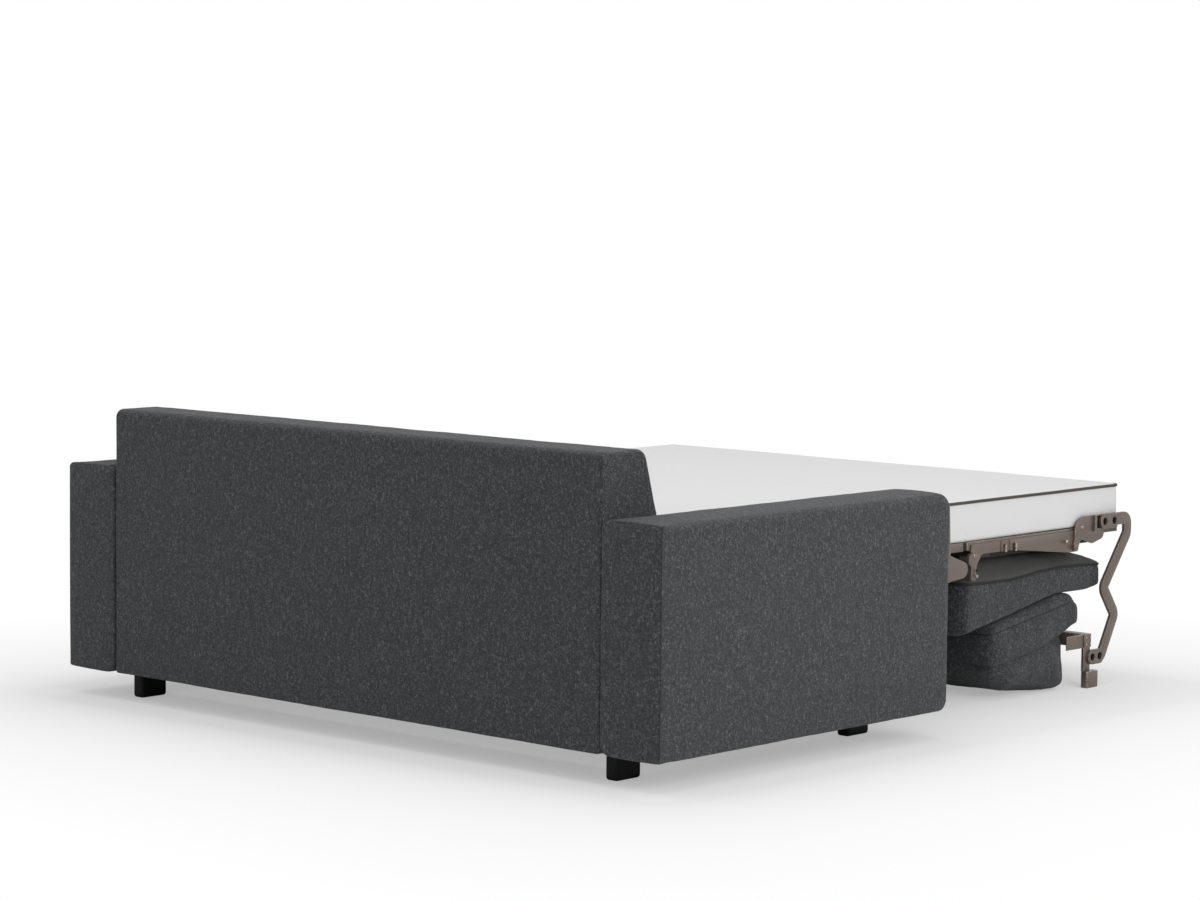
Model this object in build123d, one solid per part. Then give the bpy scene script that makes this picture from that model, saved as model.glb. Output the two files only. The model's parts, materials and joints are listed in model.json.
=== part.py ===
"""Sleeper sofa, opened into a bed.

An upholstered body of two arms and a back stands on four block feet. Between the
arms a three-part steel bed folds out towards the front: a head section on a hanger,
a level middle section, and a foot section that turns right over, so that the seat
cushions hang upside down below the foot of the bed and the back cushions lie under
them. A crooked pair of legs with a cross bar carries the foot end.

Frame: millimetres, +Z up, the back at +Y, the foot of the bed at -Y, origin on the
floor in the middle. In the side outlines, reach is the distance forward of the rear
face and the second value is the height above the floor.
"""
import os
from math import hypot

from build123d import *

# Upholstered body
sofa_width = 2050.0
arm_width = 180.0
arm_depth = 1085.0
arm_top = 605.0
back_top = 755.0
back_top_thickness = 145.0
back_arm_thickness = 196.0
back_low_thickness = 180.0
underside = 70.0
cover_wall = 22.0
edge_round = 20.0
front_round = 40.0
sewn_bevel = 8.0
back_round_share = 0.8
dust_cover_thickness = 2.0

# Feet and the rails that carry them
foot_width = 38.0
foot_depth = 85.0
foot_bevel = 3.0
rear_foot_reach = 105.0
front_foot_setback = 128.0
rail_width = 30.0
rail_height = 40.0

# Bed, as it lies open: three parts from the back to the foot
bed_side_clearance = 46.0
mattress_top = 545.0
mattress_thickness = 110.0
mattress_head_reach = 262.0
head_overhang = 58.0
head_length = 463.0
middle_length = 720.0
foot_length = 705.0
mattress_bevel = 9.0
mattress_corner_round = 45.0
soft_gap = 0.3

# Welded steel bed bases
base_tube = 22.0
base_tube_width = 30.0
base_side_margin = 3.0
base_end_margin = 8.0
base_mesh = 5.0
base_mesh_bar = 8.0
base_columns = 8
head_base_rows = 3
middle_base_rows = 4
foot_base_rows = 4

# Flat mechanism plates, stacked outwards from the bed base
plate_thickness = 5.0
plate_gap = 0.3
leg_bar_thickness = 8.0
hanger_setback = 17.0
hanger_thickness = 6.0
body_plate_thickness = 6.0
pivot_radius = 6.0
rivet_radius = 5.0
rivet_head = 9.0
rivet_head_height = 3.5
rivet_head_sides = 12
running_gap = 0.05

# Head section hanger and the body plate behind it
hanger_pivot_setback = 89.0
hanger_pivot_rise = 21.0
hanger_width = 44.0
hanger_bar_share = 0.7
hanger_bend_share = 0.6
hanger_foot_length = 240.0
hanger_spacer_share = 0.6
hanger_spacer_sides = 8
body_plate_rear_share = 1.6
body_plate_front_share = 2.6
ear_near_share = 1.5
ear_top_share = 2.0
ear_far_share = 9.0
ear_boss_share = 2.4

# Fold link between the middle and foot sections
link_pivot_setback = 99.0
link_pivot_drop = 14.0
link_lean = 8.0
link_thin_width = 34.0
link_plate_height = 72.0
link_end_radius = 21.0
link_end_drop = 8.0
link_end_clearance = 4.0
rail_pivot_offset = 21.0
rail_pivot_drop = 156.0
link_end_below_pivot = 14.0

# Side rail of the foot section
side_rail_drop = 116.0
side_rail_height = 28.0
side_rail_eye_radius = 17.0
side_rail_lug_width = 24.0
side_rail_lug_drop = 54.0
side_rail_end_length = 23.0
side_rail_end_depth = 12.0
side_rail_taper = 180.0
side_rail_neck = 46.0
side_rail_rib_offset = 134.0
side_rail_rib_step = 38.0
side_rail_rib_width = 12.0
side_rail_rib_depth = 2.5

# Crooked legs, cross bar and pads
leg_front_overhang = 33.0
leg_pivot_setback = 221.0
leg_pivot_drop = 160.0
leg_bar_width = 33.0
leg_lug_radius = 20.0
leg_top_drop = 99.0
leg_start_setback = 98.0
leg_waist_setback = 125.0
leg_waist_share = 0.5055
leg_knee_setback = 69.0
leg_knee_share = 0.2967
leg_foot_height = 82.0
leg_bend_radius = 18.0
leg_hole_radius = 8.0
leg_hole_sides = 12
leg_hole_step = 42.0
leg_top_hole_shares = (0.14, 1.2)
leg_foot_hole_shares = (0, 0.8)
bracket_front_setback = 53.0
bracket_lip_setback = 30.0
bracket_lip_width = 10.0
bracket_cup_drop = 38.0
bracket_round = 7.0
bracket_corner_round = 28.0
bracket_tip_radius = 11.0
post_setback = 188.0
post_to_leg_hole = 17.0
post_width = 30.0
pad_length = 53.0
pad_height = 45.0
pad_width = 22.0
pad_bevel = 3.0
cross_bar_size = 36.0
cross_bar_rise = 46.0
cross_bar_wall = 2.0
end_plate_thickness = 3.0
end_screw_radius = 2.5
end_screw_sides = 8

# Seat board and seat cushions, upside down under the foot section
seat_board_thickness = 15.0
seat_board_margin = 60.0
cleat_width = 60.0
cleat_end_inset = 8.0
seat_side_clearance = 44.0
seat_rear_setback = 5.0
seat_foot_setback = 75.0
seat_piping_drop = 211.0
seat_rear_depth = 149.0
seat_front_depth = 66.0
seat_slope_share = 0.71
seat_crown_run = 95.0
seat_end_inset = 12.0
cushion_gap = 4.0
# Along the width of a seat cushion: place, how far its outline draws in, crown
seat_station_shares = (
    (0.0, 1.0, 0.1),
    (0.05, 0.2, 0.6),
    (0.5, 0.0, 1.0),
    (0.95, 0.2, 0.6),
    (1.0, 1.0, 0.1),
)

# Back cushions, lying under the seat cushions; drops are below the seat's front part
back_cushion_side_clearance = 5.0
back_cushion_setback = 75.0
back_cushion_length = 411.0
back_cushion_low_height = 11.0
back_cushion_slope_height = 32.0
back_cushion_toe_height = 24.0
back_cushion_end_height = 82.0
back_cushion_slope_share = 0.2
back_cushion_notch_setback = 75.0
back_cushion_notch_drop = 123.0
back_cushion_toe_setback = 59.0
back_cushion_lip_drop = 98.0
back_cushion_inset = 10.0
back_cushion_bulge_shares = (0, 0.3, 0, 0, -0.4, 0, 0, 0, 0, 0.4)
# Along the width of a back cushion: place and how far its outline draws in
back_station_shares = (
    (0.0, 1.0),
    (0.04, 0.2),
    (0.5, 0.0),
    (0.96, 0.2),
    (1.0, 1.0),
)
back_cushion_top_gap = 1.5
cushion_hinge_setback = 38.0
cushion_hinge_drop = 48.0

# Mattress retainer at the foot end
retainer_wire_radius = 3.0
retainer_sides = 6
retainer_width = 90.0
retainer_drop = 52.0
retainer_standoff = 7.0
retainer_inset = 72.0

# Places along the reach that follow from the sizes above
front_foot_reach = arm_depth - front_foot_setback
head_fold_reach = mattress_head_reach + head_length
foot_fold_reach = head_fold_reach + middle_length
mattress_foot_reach = foot_fold_reach + foot_length
leg_outer_reach = mattress_foot_reach + leg_front_overhang
half_depth = leg_outer_reach / 2
hanger_pivot_reach = mattress_head_reach + hanger_pivot_setback
link_pivot_reach = foot_fold_reach - link_pivot_setback
link_elbow_reach = link_pivot_reach + link_lean
rail_pivot_reach = foot_fold_reach + rail_pivot_offset
side_rail_neck_reach = rail_pivot_reach + side_rail_neck
side_rail_rib_reach = rail_pivot_reach + side_rail_rib_offset
leg_pivot_reach = mattress_foot_reach - leg_pivot_setback
leg_start_reach = mattress_foot_reach - leg_start_setback
leg_waist_reach = leg_outer_reach - leg_waist_setback
leg_knee_reach = leg_outer_reach - leg_knee_setback
post_reach = leg_outer_reach - post_setback
leg_foot_reach = post_reach + post_to_leg_hole
bracket_front_reach = leg_outer_reach - bracket_front_setback
bracket_lip_reach = leg_start_reach - bracket_lip_setback
seat_rear_reach = foot_fold_reach + seat_rear_setback
seat_front_reach = mattress_foot_reach - seat_foot_setback
seat_slope_reach = seat_rear_reach + seat_slope_share * (seat_front_reach - seat_rear_reach)
back_cushion_front_reach = seat_front_reach - back_cushion_setback
back_cushion_rear_reach = back_cushion_front_reach - back_cushion_length
back_cushion_notch_reach = back_cushion_front_reach - back_cushion_notch_setback
back_cushion_toe_reach = back_cushion_front_reach - back_cushion_toe_setback
cushion_hinge_reach = back_cushion_front_reach - cushion_hinge_setback

# Heights that follow
mattress_bottom = mattress_top - mattress_thickness
fold_height = mattress_top + soft_gap
base_top = mattress_bottom - soft_gap
base_bottom = base_top - base_tube
hanger_pivot_height = mattress_top + hanger_pivot_rise
link_pivot_height = mattress_top - link_pivot_drop
rail_pivot_height = mattress_top - rail_pivot_drop
link_end_height = rail_pivot_height - link_end_below_pivot
side_rail_top = mattress_top - side_rail_drop
leg_pivot_height = mattress_top - leg_pivot_drop
leg_top_height = mattress_top - leg_top_drop
leg_waist_height = leg_foot_height + leg_waist_share * (leg_top_height - leg_foot_height)
leg_knee_height = leg_foot_height + leg_knee_share * (leg_top_height - leg_foot_height)
bracket_cup_height = leg_top_height - bracket_cup_drop
cross_bar_height = leg_foot_height + cross_bar_rise
seat_piping_height = mattress_top - seat_piping_drop
seat_rear_bottom = seat_piping_height - seat_rear_depth
seat_front_bottom = seat_piping_height - seat_front_depth
back_cushion_notch_height = seat_front_bottom - back_cushion_notch_drop
back_cushion_lip_height = seat_front_bottom - back_cushion_lip_drop
cushion_hinge_height = seat_front_bottom - cushion_hinge_drop
retainer_height = mattress_top - retainer_drop

# Places across that follow, from the middle plane outwards
arm_inner = sofa_width / 2 - arm_width
mattress_width = 2 * (arm_inner - bed_side_clearance)
base_half_width = mattress_width / 2 + base_side_margin
plate_inner = base_half_width
plate_outer = plate_inner + plate_thickness + plate_gap
leg_inner = plate_outer + plate_thickness
hanger_inner = arm_inner - hanger_setback
seat_half_width = arm_inner - seat_side_clearance
back_cushion_half_width = base_half_width - back_cushion_side_clearance
bolt_reach_out = hanger_inner - base_half_width
overrun = 1.0

sides = {"left": 1, "right": -1}
nodes = {}


def side_plane(x):
    """A plane at x whose own axes are reach and height."""
    return Plane(origin=(x, half_depth, 0), x_dir=(0, -1, 0), z_dir=(-1, 0, 0))


def block(x_span, reach_span, z_span):
    """A box between two places on each axis."""
    size = [span[1] - span[0] for span in (x_span, reach_span, z_span)]
    middle_y = half_depth - (reach_span[0] + reach_span[1]) / 2
    centre = ((x_span[0] + x_span[1]) / 2, middle_y, (z_span[0] + z_span[1]) / 2)
    return Pos(*centre) * Box(*size)


def side_span(inner, thickness, side):
    """The x values of a layer that starts at inner from the middle plane."""
    ends = (inner * side, (inner + thickness) * side)
    return (min(ends), max(ends))


def side_plate(outline, inner, thickness, side):
    """A flat plate with a side outline, inner from the middle plane."""
    start = side_span(inner, thickness, side)[1]
    return extrude(side_plane(start) * outline, amount=thickness)


def rod(reach, height, radius, inner, length, side):
    """A round bar along x."""
    return side_plate(Pos(reach, height) * Circle(radius), inner, length, side)


def bolt(reach, height, inner, length, side):
    """A pivot bolt whose head is at its outer end."""
    shank = rod(reach, height, pivot_radius, inner, length, side)
    face = Pos(reach, height) * RegularPolygon(rivet_head, rivet_head_sides)
    head = side_plate(face, inner + length, rivet_head_height, side)
    return shank + head


def drilled(plate, reach, height, radius, inner, thickness, side):
    """A side plate with a round hole through it."""
    start = inner - overrun
    return plate - rod(reach, height, radius, start, thickness + 2 * overrun, side)


def bar_outline(points, width, bend):
    """A flat bar of one width that follows a bent line, with round ends."""
    path = FilletPolyline(*points, radius=bend) if bend else Line(*points)
    return make_face(offset(path, amount=width / 2, side=Side.BOTH))


def polygon_outline(points, size, finish=fillet):
    """A closed outline with every corner rounded, or bevelled where finish is chamfer."""
    face = make_face(Polyline(*points, close=True))
    return finish(face.vertices(), size)


def arc_outline(corners, bulges):
    """A closed outline whose sides bulge outwards by the given heights."""
    edges = []
    for start, end, bulge in zip(corners, corners[1:] + corners[:1], bulges):
        along = (end[0] - start[0], end[1] - start[1])
        length = hypot(*along)
        middle = (
            (start[0] + end[0]) / 2 + along[1] / length * bulge,
            (start[1] + end[1]) / 2 - along[0] / length * bulge,
        )
        edges.append(ThreePointArc(start, middle, end) if bulge else Line(start, end))
    return make_face(edges)


def add(name, solid):
    nodes[name] = solid


def body_arm(side):
    """Upholstered arm cover with its hollow open underneath."""
    outer = block(
        side_span(arm_inner, arm_width, side), (0, arm_depth), (underside, arm_top)
    )
    front = outer.edges().filter_by(Axis.X).group_by(Axis.Y)[0]
    outer = fillet(front, front_round)
    low_edges = [edge for edge in outer.edges() if edge.bounding_box().max.Z < underside + overrun]
    upper = [edge for edge in outer.edges() if edge not in low_edges]
    sewn = [edge for edge in upper if edge.bounding_box().min.Y > half_depth - overrun]
    outer = chamfer(sewn, sewn_bevel)
    length = [edge for edge in outer.edges() if on_long_edge(edge)]
    outer = fillet(length, edge_round)
    return outer - arm_hollow(side, 0)


def on_long_edge(edge):
    """True for the edges of an arm along its top and round its front."""
    box = edge.bounding_box()
    flat = box.size.X < overrun and box.size.length > sewn_bevel * 2
    on_side = abs(abs(box.center().X) - arm_inner) < overrun
    on_side = on_side or abs(abs(box.center().X) - sofa_width / 2) < overrun
    at_rear = box.min.Y > half_depth - 2 * sewn_bevel
    return flat and on_side and not at_rear and box.max.Z > underside + overrun


def arm_hollow(side, lift):
    """The space that the wooden frame fills inside an arm cover."""
    inner = arm_inner + cover_wall
    return block(
        side_span(inner, arm_width - 2 * cover_wall, side),
        (cover_wall, arm_depth - front_round),
        (underside + lift, arm_top - cover_wall),
    )


def make_arms():
    for name, side in sides.items():
        add(f"arm_cover_{name}", body_arm(side))
        add(f"arm_frame_{name}", arm_hollow(side, dust_cover_thickness))
        dust = block(
            side_span(arm_inner + cover_wall, arm_width - 2 * cover_wall, side),
            (cover_wall, arm_depth - front_round),
            (underside, underside + dust_cover_thickness),
        )
        add(f"arm_dust_cover_{name}", dust)


def back_hollow(lift):
    """The space that the wooden frame fills inside the back cover."""
    return block(
        (-arm_inner + cover_wall, arm_inner - cover_wall),
        (cover_wall, back_top_thickness - cover_wall),
        (underside + lift, back_top - 2 * cover_wall),
    )


def make_back():
    crest = back_top - edge_round
    outline = make_face(
        Polyline(
            (0, underside),
            (back_low_thickness, underside),
            (back_low_thickness, arm_top - cover_wall / 2),
            (back_arm_thickness, arm_top),
            (back_top_thickness, crest),
            (back_top_thickness - edge_round / 2, back_top),
            (0, back_top),
            close=True,
        )
    )
    corners = outline.vertices().sort_by(Axis.Y)
    outline = fillet(corners[-2:], edge_round * back_round_share)
    cover = extrude(side_plane(arm_inner) * outline, amount=2 * arm_inner)
    ends = [edge for edge in cover.edges() if on_upper_end(edge)]
    cover = fillet(ends, edge_round * back_round_share)
    add("back_cover", cover - back_hollow(0))
    add("back_frame", back_hollow(dust_cover_thickness))
    dust = block(
        (-arm_inner + cover_wall, arm_inner - cover_wall),
        (cover_wall, back_top_thickness - cover_wall),
        (underside, underside + dust_cover_thickness),
    )
    add("back_dust_cover", dust)


def on_upper_end(edge):
    """True for the end edges of the back that stand clear above the arms."""
    box = edge.bounding_box()
    at_end = box.size.X < overrun and abs(abs(box.min.X) - arm_inner) < overrun
    return at_end and box.max.Z > arm_top


def make_feet():
    places = {"rear": rear_foot_reach, "front": front_foot_reach}
    rail_inner = arm_inner - rail_width
    for name, side in sides.items():
        rail = block(
            side_span(rail_inner, rail_width, side),
            (back_low_thickness, arm_depth - front_round),
            (underside, underside + rail_height),
        )
        add(f"base_rail_{name}", rail)
        for end, reach in places.items():
            foot = block(
                side_span(arm_inner - foot_width, foot_width, side),
                (reach - foot_depth / 2, reach + foot_depth / 2),
                (0, underside),
            )
            foot = chamfer(foot.edges().filter_by(Axis.Z), foot_bevel)
            add(f"foot_{end}_{name}", foot)


def make_body_plates():
    """Plates on the arms that carry the hanger pivots."""
    inner = arm_inner - body_plate_thickness
    low = mattress_bottom
    half = hanger_width / 2
    rear = hanger_pivot_reach - body_plate_rear_share * hanger_width
    front = hanger_pivot_reach + body_plate_front_share * hanger_width
    corners = [
        (rear, low),
        (front, low),
        (front, low + hanger_width),
        (hanger_pivot_reach + half, hanger_pivot_height),
        (hanger_pivot_reach + half, hanger_pivot_height + half),
        (hanger_pivot_reach - half, hanger_pivot_height + half),
        (rear, low + hanger_width),
    ]
    for name, side in sides.items():
        outline = polygon_outline(corners, rivet_head, chamfer)
        plate = side_plate(outline, inner, body_plate_thickness, side)
        add(f"body_plate_{name}", plate)


def base_section(rear, front, rows):
    """A welded tube frame with a flat steel mesh inside it."""
    half = base_half_width
    outer = block((-half, half), (rear, front), (base_bottom, base_top))
    inner_x = half - base_tube_width
    inner_rear = rear + base_tube_width
    inner_front = front - base_tube_width
    outer -= block((-inner_x, inner_x), (inner_rear, inner_front), (base_bottom, base_top))
    mesh = Rectangle(2 * inner_x, inner_front - inner_rear)
    pitch_x = 2 * inner_x / base_columns
    pitch_y = (inner_front - inner_rear) / rows
    window = Rectangle(pitch_x - base_mesh_bar, pitch_y - base_mesh_bar)
    mesh -= GridLocations(pitch_x, pitch_y, base_columns, rows) * window
    middle = half_depth - (inner_rear + inner_front) / 2
    return outer + extrude(Pos(0, middle, base_top - base_mesh) * mesh, amount=base_mesh)


def mattress_section(rear, front, round_rear, round_front):
    """One mattress part with soft outer edges."""
    half = mattress_width / 2
    solid = block((-half, half), (rear, front), (mattress_bottom, mattress_top))
    if round_front:
        solid = fillet(solid.edges().filter_by(Axis.Z).group_by(Axis.Y)[0], mattress_corner_round)
    if round_rear:
        solid = fillet(solid.edges().filter_by(Axis.Z).group_by(Axis.Y)[-1], mattress_corner_round)
    level = solid.edges().group_by(Axis.Z)
    outer = [edge for edge in level[0] + level[-1] if not on_fold(edge)]
    return chamfer(outer, mattress_bevel)


def on_fold(edge):
    """True for the straight edges that lie along a fold of the mattress."""
    box = edge.bounding_box()
    reach = half_depth - box.center().Y
    along_fold = box.size.Y < overrun
    near = min(abs(reach - head_fold_reach), abs(reach - foot_fold_reach))
    return along_fold and near < overrun


def make_bed():
    head_front = head_fold_reach - soft_gap
    middle_rear = head_fold_reach + soft_gap
    middle_front = foot_fold_reach - soft_gap
    foot_rear = foot_fold_reach + soft_gap
    add("mattress_head", mattress_section(mattress_head_reach, head_front, True, False))
    add("mattress_middle", mattress_section(middle_rear, middle_front, False, False))
    add("mattress_foot", mattress_section(foot_rear, mattress_foot_reach, False, True))
    margin = base_end_margin
    head_rear = mattress_head_reach + head_overhang
    add("bed_base_head", base_section(head_rear, head_front - margin, head_base_rows))
    add("bed_base_middle", base_section(middle_rear + margin, middle_front - margin, middle_base_rows))
    add("bed_base_foot", base_section(foot_rear + margin, mattress_foot_reach - margin, foot_base_rows))


def make_hanger(side):
    """The bent arm that carries the head section from the body pivot."""
    low = base_bottom + base_tube / 2
    rear = hanger_pivot_reach - hanger_width / 4
    points = [
        (hanger_pivot_reach, hanger_pivot_height),
        (rear, low),
        (rear + hanger_foot_length, low),
    ]
    outline = bar_outline(points, hanger_width * hanger_bar_share, hanger_width * hanger_bend_share)
    outline += Pos(hanger_pivot_reach, hanger_pivot_height) * Circle(hanger_width / 2)
    plate = side_plate(outline, hanger_inner, hanger_thickness, side)
    hole = pivot_radius + running_gap
    return drilled(
        plate, hanger_pivot_reach, hanger_pivot_height, hole, hanger_inner, hanger_thickness, side
    )


def hanger_spacers(side):
    """Two round spacers between the head base and the hanger."""
    low = base_bottom + base_tube / 2
    start = hanger_pivot_reach + hanger_width / 2
    group = []
    for reach in (start, start + hanger_foot_length * hanger_spacer_share):
        face = Pos(reach, low) * RegularPolygon(pivot_radius, hanger_spacer_sides)
        group.append(side_plate(face, base_half_width, bolt_reach_out, side))
    return group


def fold_ear(inner, direction, side):
    """An upright ear beside the mattress that reaches the head fold."""
    foot_far = head_fold_reach + direction * ear_far_share * pivot_radius
    foot_near = head_fold_reach + direction * ear_near_share * pivot_radius
    outline = polygon_outline(
        [
            (foot_near, base_bottom),
            (foot_far, base_bottom),
            (foot_far, base_top),
            (head_fold_reach + direction * ear_top_share * pivot_radius, fold_height),
            (foot_near - direction * pivot_radius, fold_height),
        ],
        pivot_radius / 2,
        chamfer,
    )
    outline += Pos(head_fold_reach, fold_height) * Circle(ear_boss_share * pivot_radius)
    plate = side_plate(outline, inner, plate_thickness, side)
    hole = pivot_radius + running_gap
    return drilled(plate, head_fold_reach, fold_height, hole, inner, plate_thickness, side)


def fold_link(side):
    """L-shaped link that turns the foot section over the middle section."""
    low = link_end_height
    column = [(link_pivot_reach, link_pivot_height), (link_elbow_reach, low)]
    outline = bar_outline(column, link_thin_width, 0)
    wide_end = Pos(link_elbow_reach, low) * Circle(link_plate_height / 2)
    end = rail_pivot_reach - side_rail_eye_radius - link_end_clearance - link_end_radius
    round_end = Pos(end, low - link_end_drop) * Circle(link_end_radius)
    outline += make_hull(wide_end.edges() + round_end.edges())
    plate = side_plate(outline, plate_outer, plate_thickness, side)
    hole = pivot_radius + running_gap
    return drilled(plate, link_pivot_reach, link_pivot_height, hole, plate_outer, plate_thickness, side)


def link_bracket(side):
    """Upright plate on the middle base that holds the link pivot."""
    width = link_thin_width
    outline = Pos(link_pivot_reach, (base_bottom + link_pivot_height) / 2) * Rectangle(
        width, link_pivot_height - base_bottom
    )
    outline += Pos(link_pivot_reach, link_pivot_height) * Circle(width / 2)
    return side_plate(outline, plate_inner, plate_thickness, side)


def side_rail(side):
    """Pressed rail along the foot base, with an eye and a lug at its rear end."""
    top = side_rail_top
    low = top - side_rail_height
    end = leg_pivot_reach + side_rail_end_length
    end_low = leg_pivot_height - side_rail_end_depth
    lug = rail_pivot_reach + side_rail_lug_width
    lug_low = rail_pivot_height - side_rail_lug_drop
    outline = polygon_outline(
        [
            (rail_pivot_reach, top),
            (end, top),
            (end, end_low),
            (leg_pivot_reach - side_rail_end_length, end_low),
            (rail_pivot_reach + side_rail_taper, low),
            (side_rail_neck_reach, low),
            (lug, rail_pivot_height - side_rail_eye_radius),
            (lug, lug_low),
            (rail_pivot_reach, lug_low),
        ],
        rivet_radius,
        chamfer,
    )
    outline += Pos(rail_pivot_reach, rail_pivot_height) * Circle(side_rail_eye_radius)
    plate = side_plate(outline, plate_inner, plate_thickness, side)
    for step in range(2):
        reach = side_rail_rib_reach + step * side_rail_rib_step
        rib = block(
            side_span(plate_inner + plate_thickness, side_rail_rib_depth, side),
            (reach - side_rail_rib_width / 2, reach + side_rail_rib_width / 2),
            (low, top),
        )
        plate += rib
    eye_start = plate_inner + plate_thickness
    eye_thickness = plate_thickness + plate_gap
    eye = rod(rail_pivot_reach, rail_pivot_height, side_rail_eye_radius, eye_start, eye_thickness, side)
    return plate + eye


def leg_bracket(side):
    """Plate with a rounded corner and a round tip that joins a leg to its pivot."""
    top = leg_top_height + leg_lug_radius
    rear = leg_pivot_reach - bracket_tip_radius
    tip = leg_pivot_reach + bracket_tip_radius
    low = bracket_cup_height - rivet_radius
    corners = [
        (rear, top),
        (bracket_front_reach, top),
        (bracket_front_reach, leg_top_height - leg_lug_radius),
        (bracket_lip_reach, low),
        (tip, low),
        (tip, leg_pivot_height),
        (rear, leg_pivot_height),
    ]
    face = make_face(Polyline(*corners, close=True))
    outer = face.vertices().sort_by(Axis.X).group_by(Axis.X)[0].sort_by(Axis.Y)[-1]
    face = fillet(outer, bracket_corner_round)
    far = [spot for spot in face.vertices() if spot.X > tip + overrun]
    outline = fillet(far, bracket_round)
    outline += Pos(leg_pivot_reach, leg_pivot_height) * Circle(bracket_tip_radius)
    plate = side_plate(outline, plate_outer, plate_thickness, side)
    lip = block(
        side_span(leg_inner, leg_bar_thickness, side),
        (bracket_lip_reach - bracket_lip_width, bracket_lip_reach),
        (bracket_cup_height, top),
    )
    hole = pivot_radius + running_gap
    return drilled(
        plate + lip, leg_pivot_reach, leg_pivot_height, hole, plate_outer, plate_thickness, side
    )


def crooked_leg(side):
    """Flat bar leg with a waist and a knee, and a lug with two holes at each end."""
    corner = leg_outer_reach - leg_bar_width / 2
    top = leg_top_height + leg_lug_radius - leg_bar_width / 2
    points = [
        (leg_start_reach + leg_bar_width / 2, top),
        (corner, top),
        (corner, top - leg_hole_step),
        (leg_waist_reach, leg_waist_height),
        (leg_knee_reach, leg_knee_height),
        (leg_foot_reach + leg_hole_step, leg_foot_height),
        (leg_foot_reach, leg_foot_height),
    ]
    outline = bar_outline(points, leg_bar_width, leg_bend_radius)
    top_holes = [
        (leg_start_reach + leg_hole_step * share, leg_top_height) for share in leg_top_hole_shares
    ]
    foot_holes = [
        (leg_foot_reach + leg_hole_step * share, leg_foot_height) for share in leg_foot_hole_shares
    ]
    for holes in (top_holes, foot_holes):
        ends = [Pos(*place) * Circle(leg_lug_radius) for place in holes]
        outline += make_hull(ends[0].edges() + ends[1].edges())
    for place in top_holes + foot_holes:
        outline -= Pos(*place) * RegularPolygon(leg_hole_radius, leg_hole_sides)
    return side_plate(outline, leg_inner, leg_bar_thickness, side)


def make_leg_end(name, side):
    """Post, pad, end plate and its four screws below a leg."""
    top = cross_bar_height + cross_bar_size / 2
    inner = leg_inner - leg_bar_thickness
    post_span = (post_reach - post_width / 2, post_reach + post_width / 2)
    post = block(side_span(inner, leg_bar_thickness, side), post_span, (pad_height, top))
    add(f"leg_post_{name}", post)
    pad_inner = inner - (pad_width - 2 * leg_bar_thickness) / 2
    pad_start = post_span[0] + pad_bevel
    pad_reach = (pad_start, pad_start + pad_length)
    pad = block(side_span(pad_inner, pad_width, side), pad_reach, (0, pad_height))
    add(f"leg_pad_{name}", chamfer(pad.edges().filter_by(Axis.Z), pad_bevel))
    plate = block(
        side_span(leg_inner, end_plate_thickness, side),
        post_span,
        (top - cross_bar_size, top),
    )
    add(f"end_plate_{name}", plate)


def end_screws():
    """The small screws on both end plates."""
    group = []
    quarter = cross_bar_size / 4
    inner = leg_inner + end_plate_thickness
    for side in sides.values():
        for reach in (post_reach - quarter, post_reach + quarter):
            for height in (cross_bar_height - quarter, cross_bar_height + quarter):
                face = Pos(reach, height) * RegularPolygon(end_screw_radius, end_screw_sides)
                group.append(side_plate(face, inner, end_screw_radius, side))
    return group


def cross_bar():
    """Square tube between the two leg posts."""
    half = leg_inner - leg_bar_thickness
    outer = cross_bar_size / 2
    inner = outer - cross_bar_wall
    tube = block(
        (-half, half),
        (post_reach - outer, post_reach + outer),
        (cross_bar_height - outer, cross_bar_height + outer),
    )
    tube = chamfer(tube.edges().filter_by(Axis.X), cross_bar_wall)
    return tube - block(
        (-half, half),
        (post_reach - inner, post_reach + inner),
        (cross_bar_height - inner, cross_bar_height + inner),
    )


def seat_section(x, inset, rise):
    """Side outline of a seat cushion at x, with a crown that rises from its piping."""
    rear = seat_rear_reach + inset
    front = seat_front_reach - inset
    corners = [
        (rear, seat_rear_bottom + inset),
        (seat_slope_reach, seat_front_bottom + inset / 2),
        (front, seat_front_bottom + inset / 2),
        (front, seat_piping_height),
        (front - seat_crown_run, seat_piping_height + rise),
        (rear + seat_crown_run, seat_piping_height + rise),
        (rear, seat_piping_height),
    ]
    return side_plane(x) * make_face(Polyline(*corners, close=True))


def seat_cushion(side):
    """One seat cushion, with crown and drawn-in sides."""
    crown = seat_board_bottom() - soft_gap - seat_piping_height
    start = cushion_gap / 2
    width = seat_half_width - start
    stations = list(seat_station_shares)
    if side > 0:
        stations = stations[::-1]
    sections = []
    for share, drawn, rise in stations:
        x = side * (start + share * width)
        sections.append(seat_section(x, drawn * seat_end_inset, rise * crown))
    top = seat_board_bottom() - soft_gap
    above = block((-arm_inner, arm_inner), (0, leg_outer_reach), (top, mattress_top))
    return loft(sections, ruled=True) - above - seat_underside(0, -1)


def seat_underside(gap, side_of_line):
    """A prism above (1) or below (-1) the seat underside, gap further down."""
    far = side_of_line * mattress_top
    slope = (seat_front_bottom - seat_rear_bottom) / (seat_slope_reach - seat_rear_reach)
    start = seat_rear_reach - seat_end_inset
    corners = [
        (start, seat_rear_bottom - gap - slope * seat_end_inset),
        (seat_slope_reach, seat_front_bottom - gap),
        (leg_outer_reach, seat_front_bottom - gap),
        (leg_outer_reach, seat_front_bottom + far),
        (start, seat_front_bottom + far),
    ]
    outline = make_face(Polyline(*corners, close=True))
    return extrude(side_plane(arm_inner) * outline, amount=2 * arm_inner)


def seat_board_bottom():
    """Underside of the board that the seat cushions are fixed to."""
    return base_bottom - cleat_height() - seat_board_thickness


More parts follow.
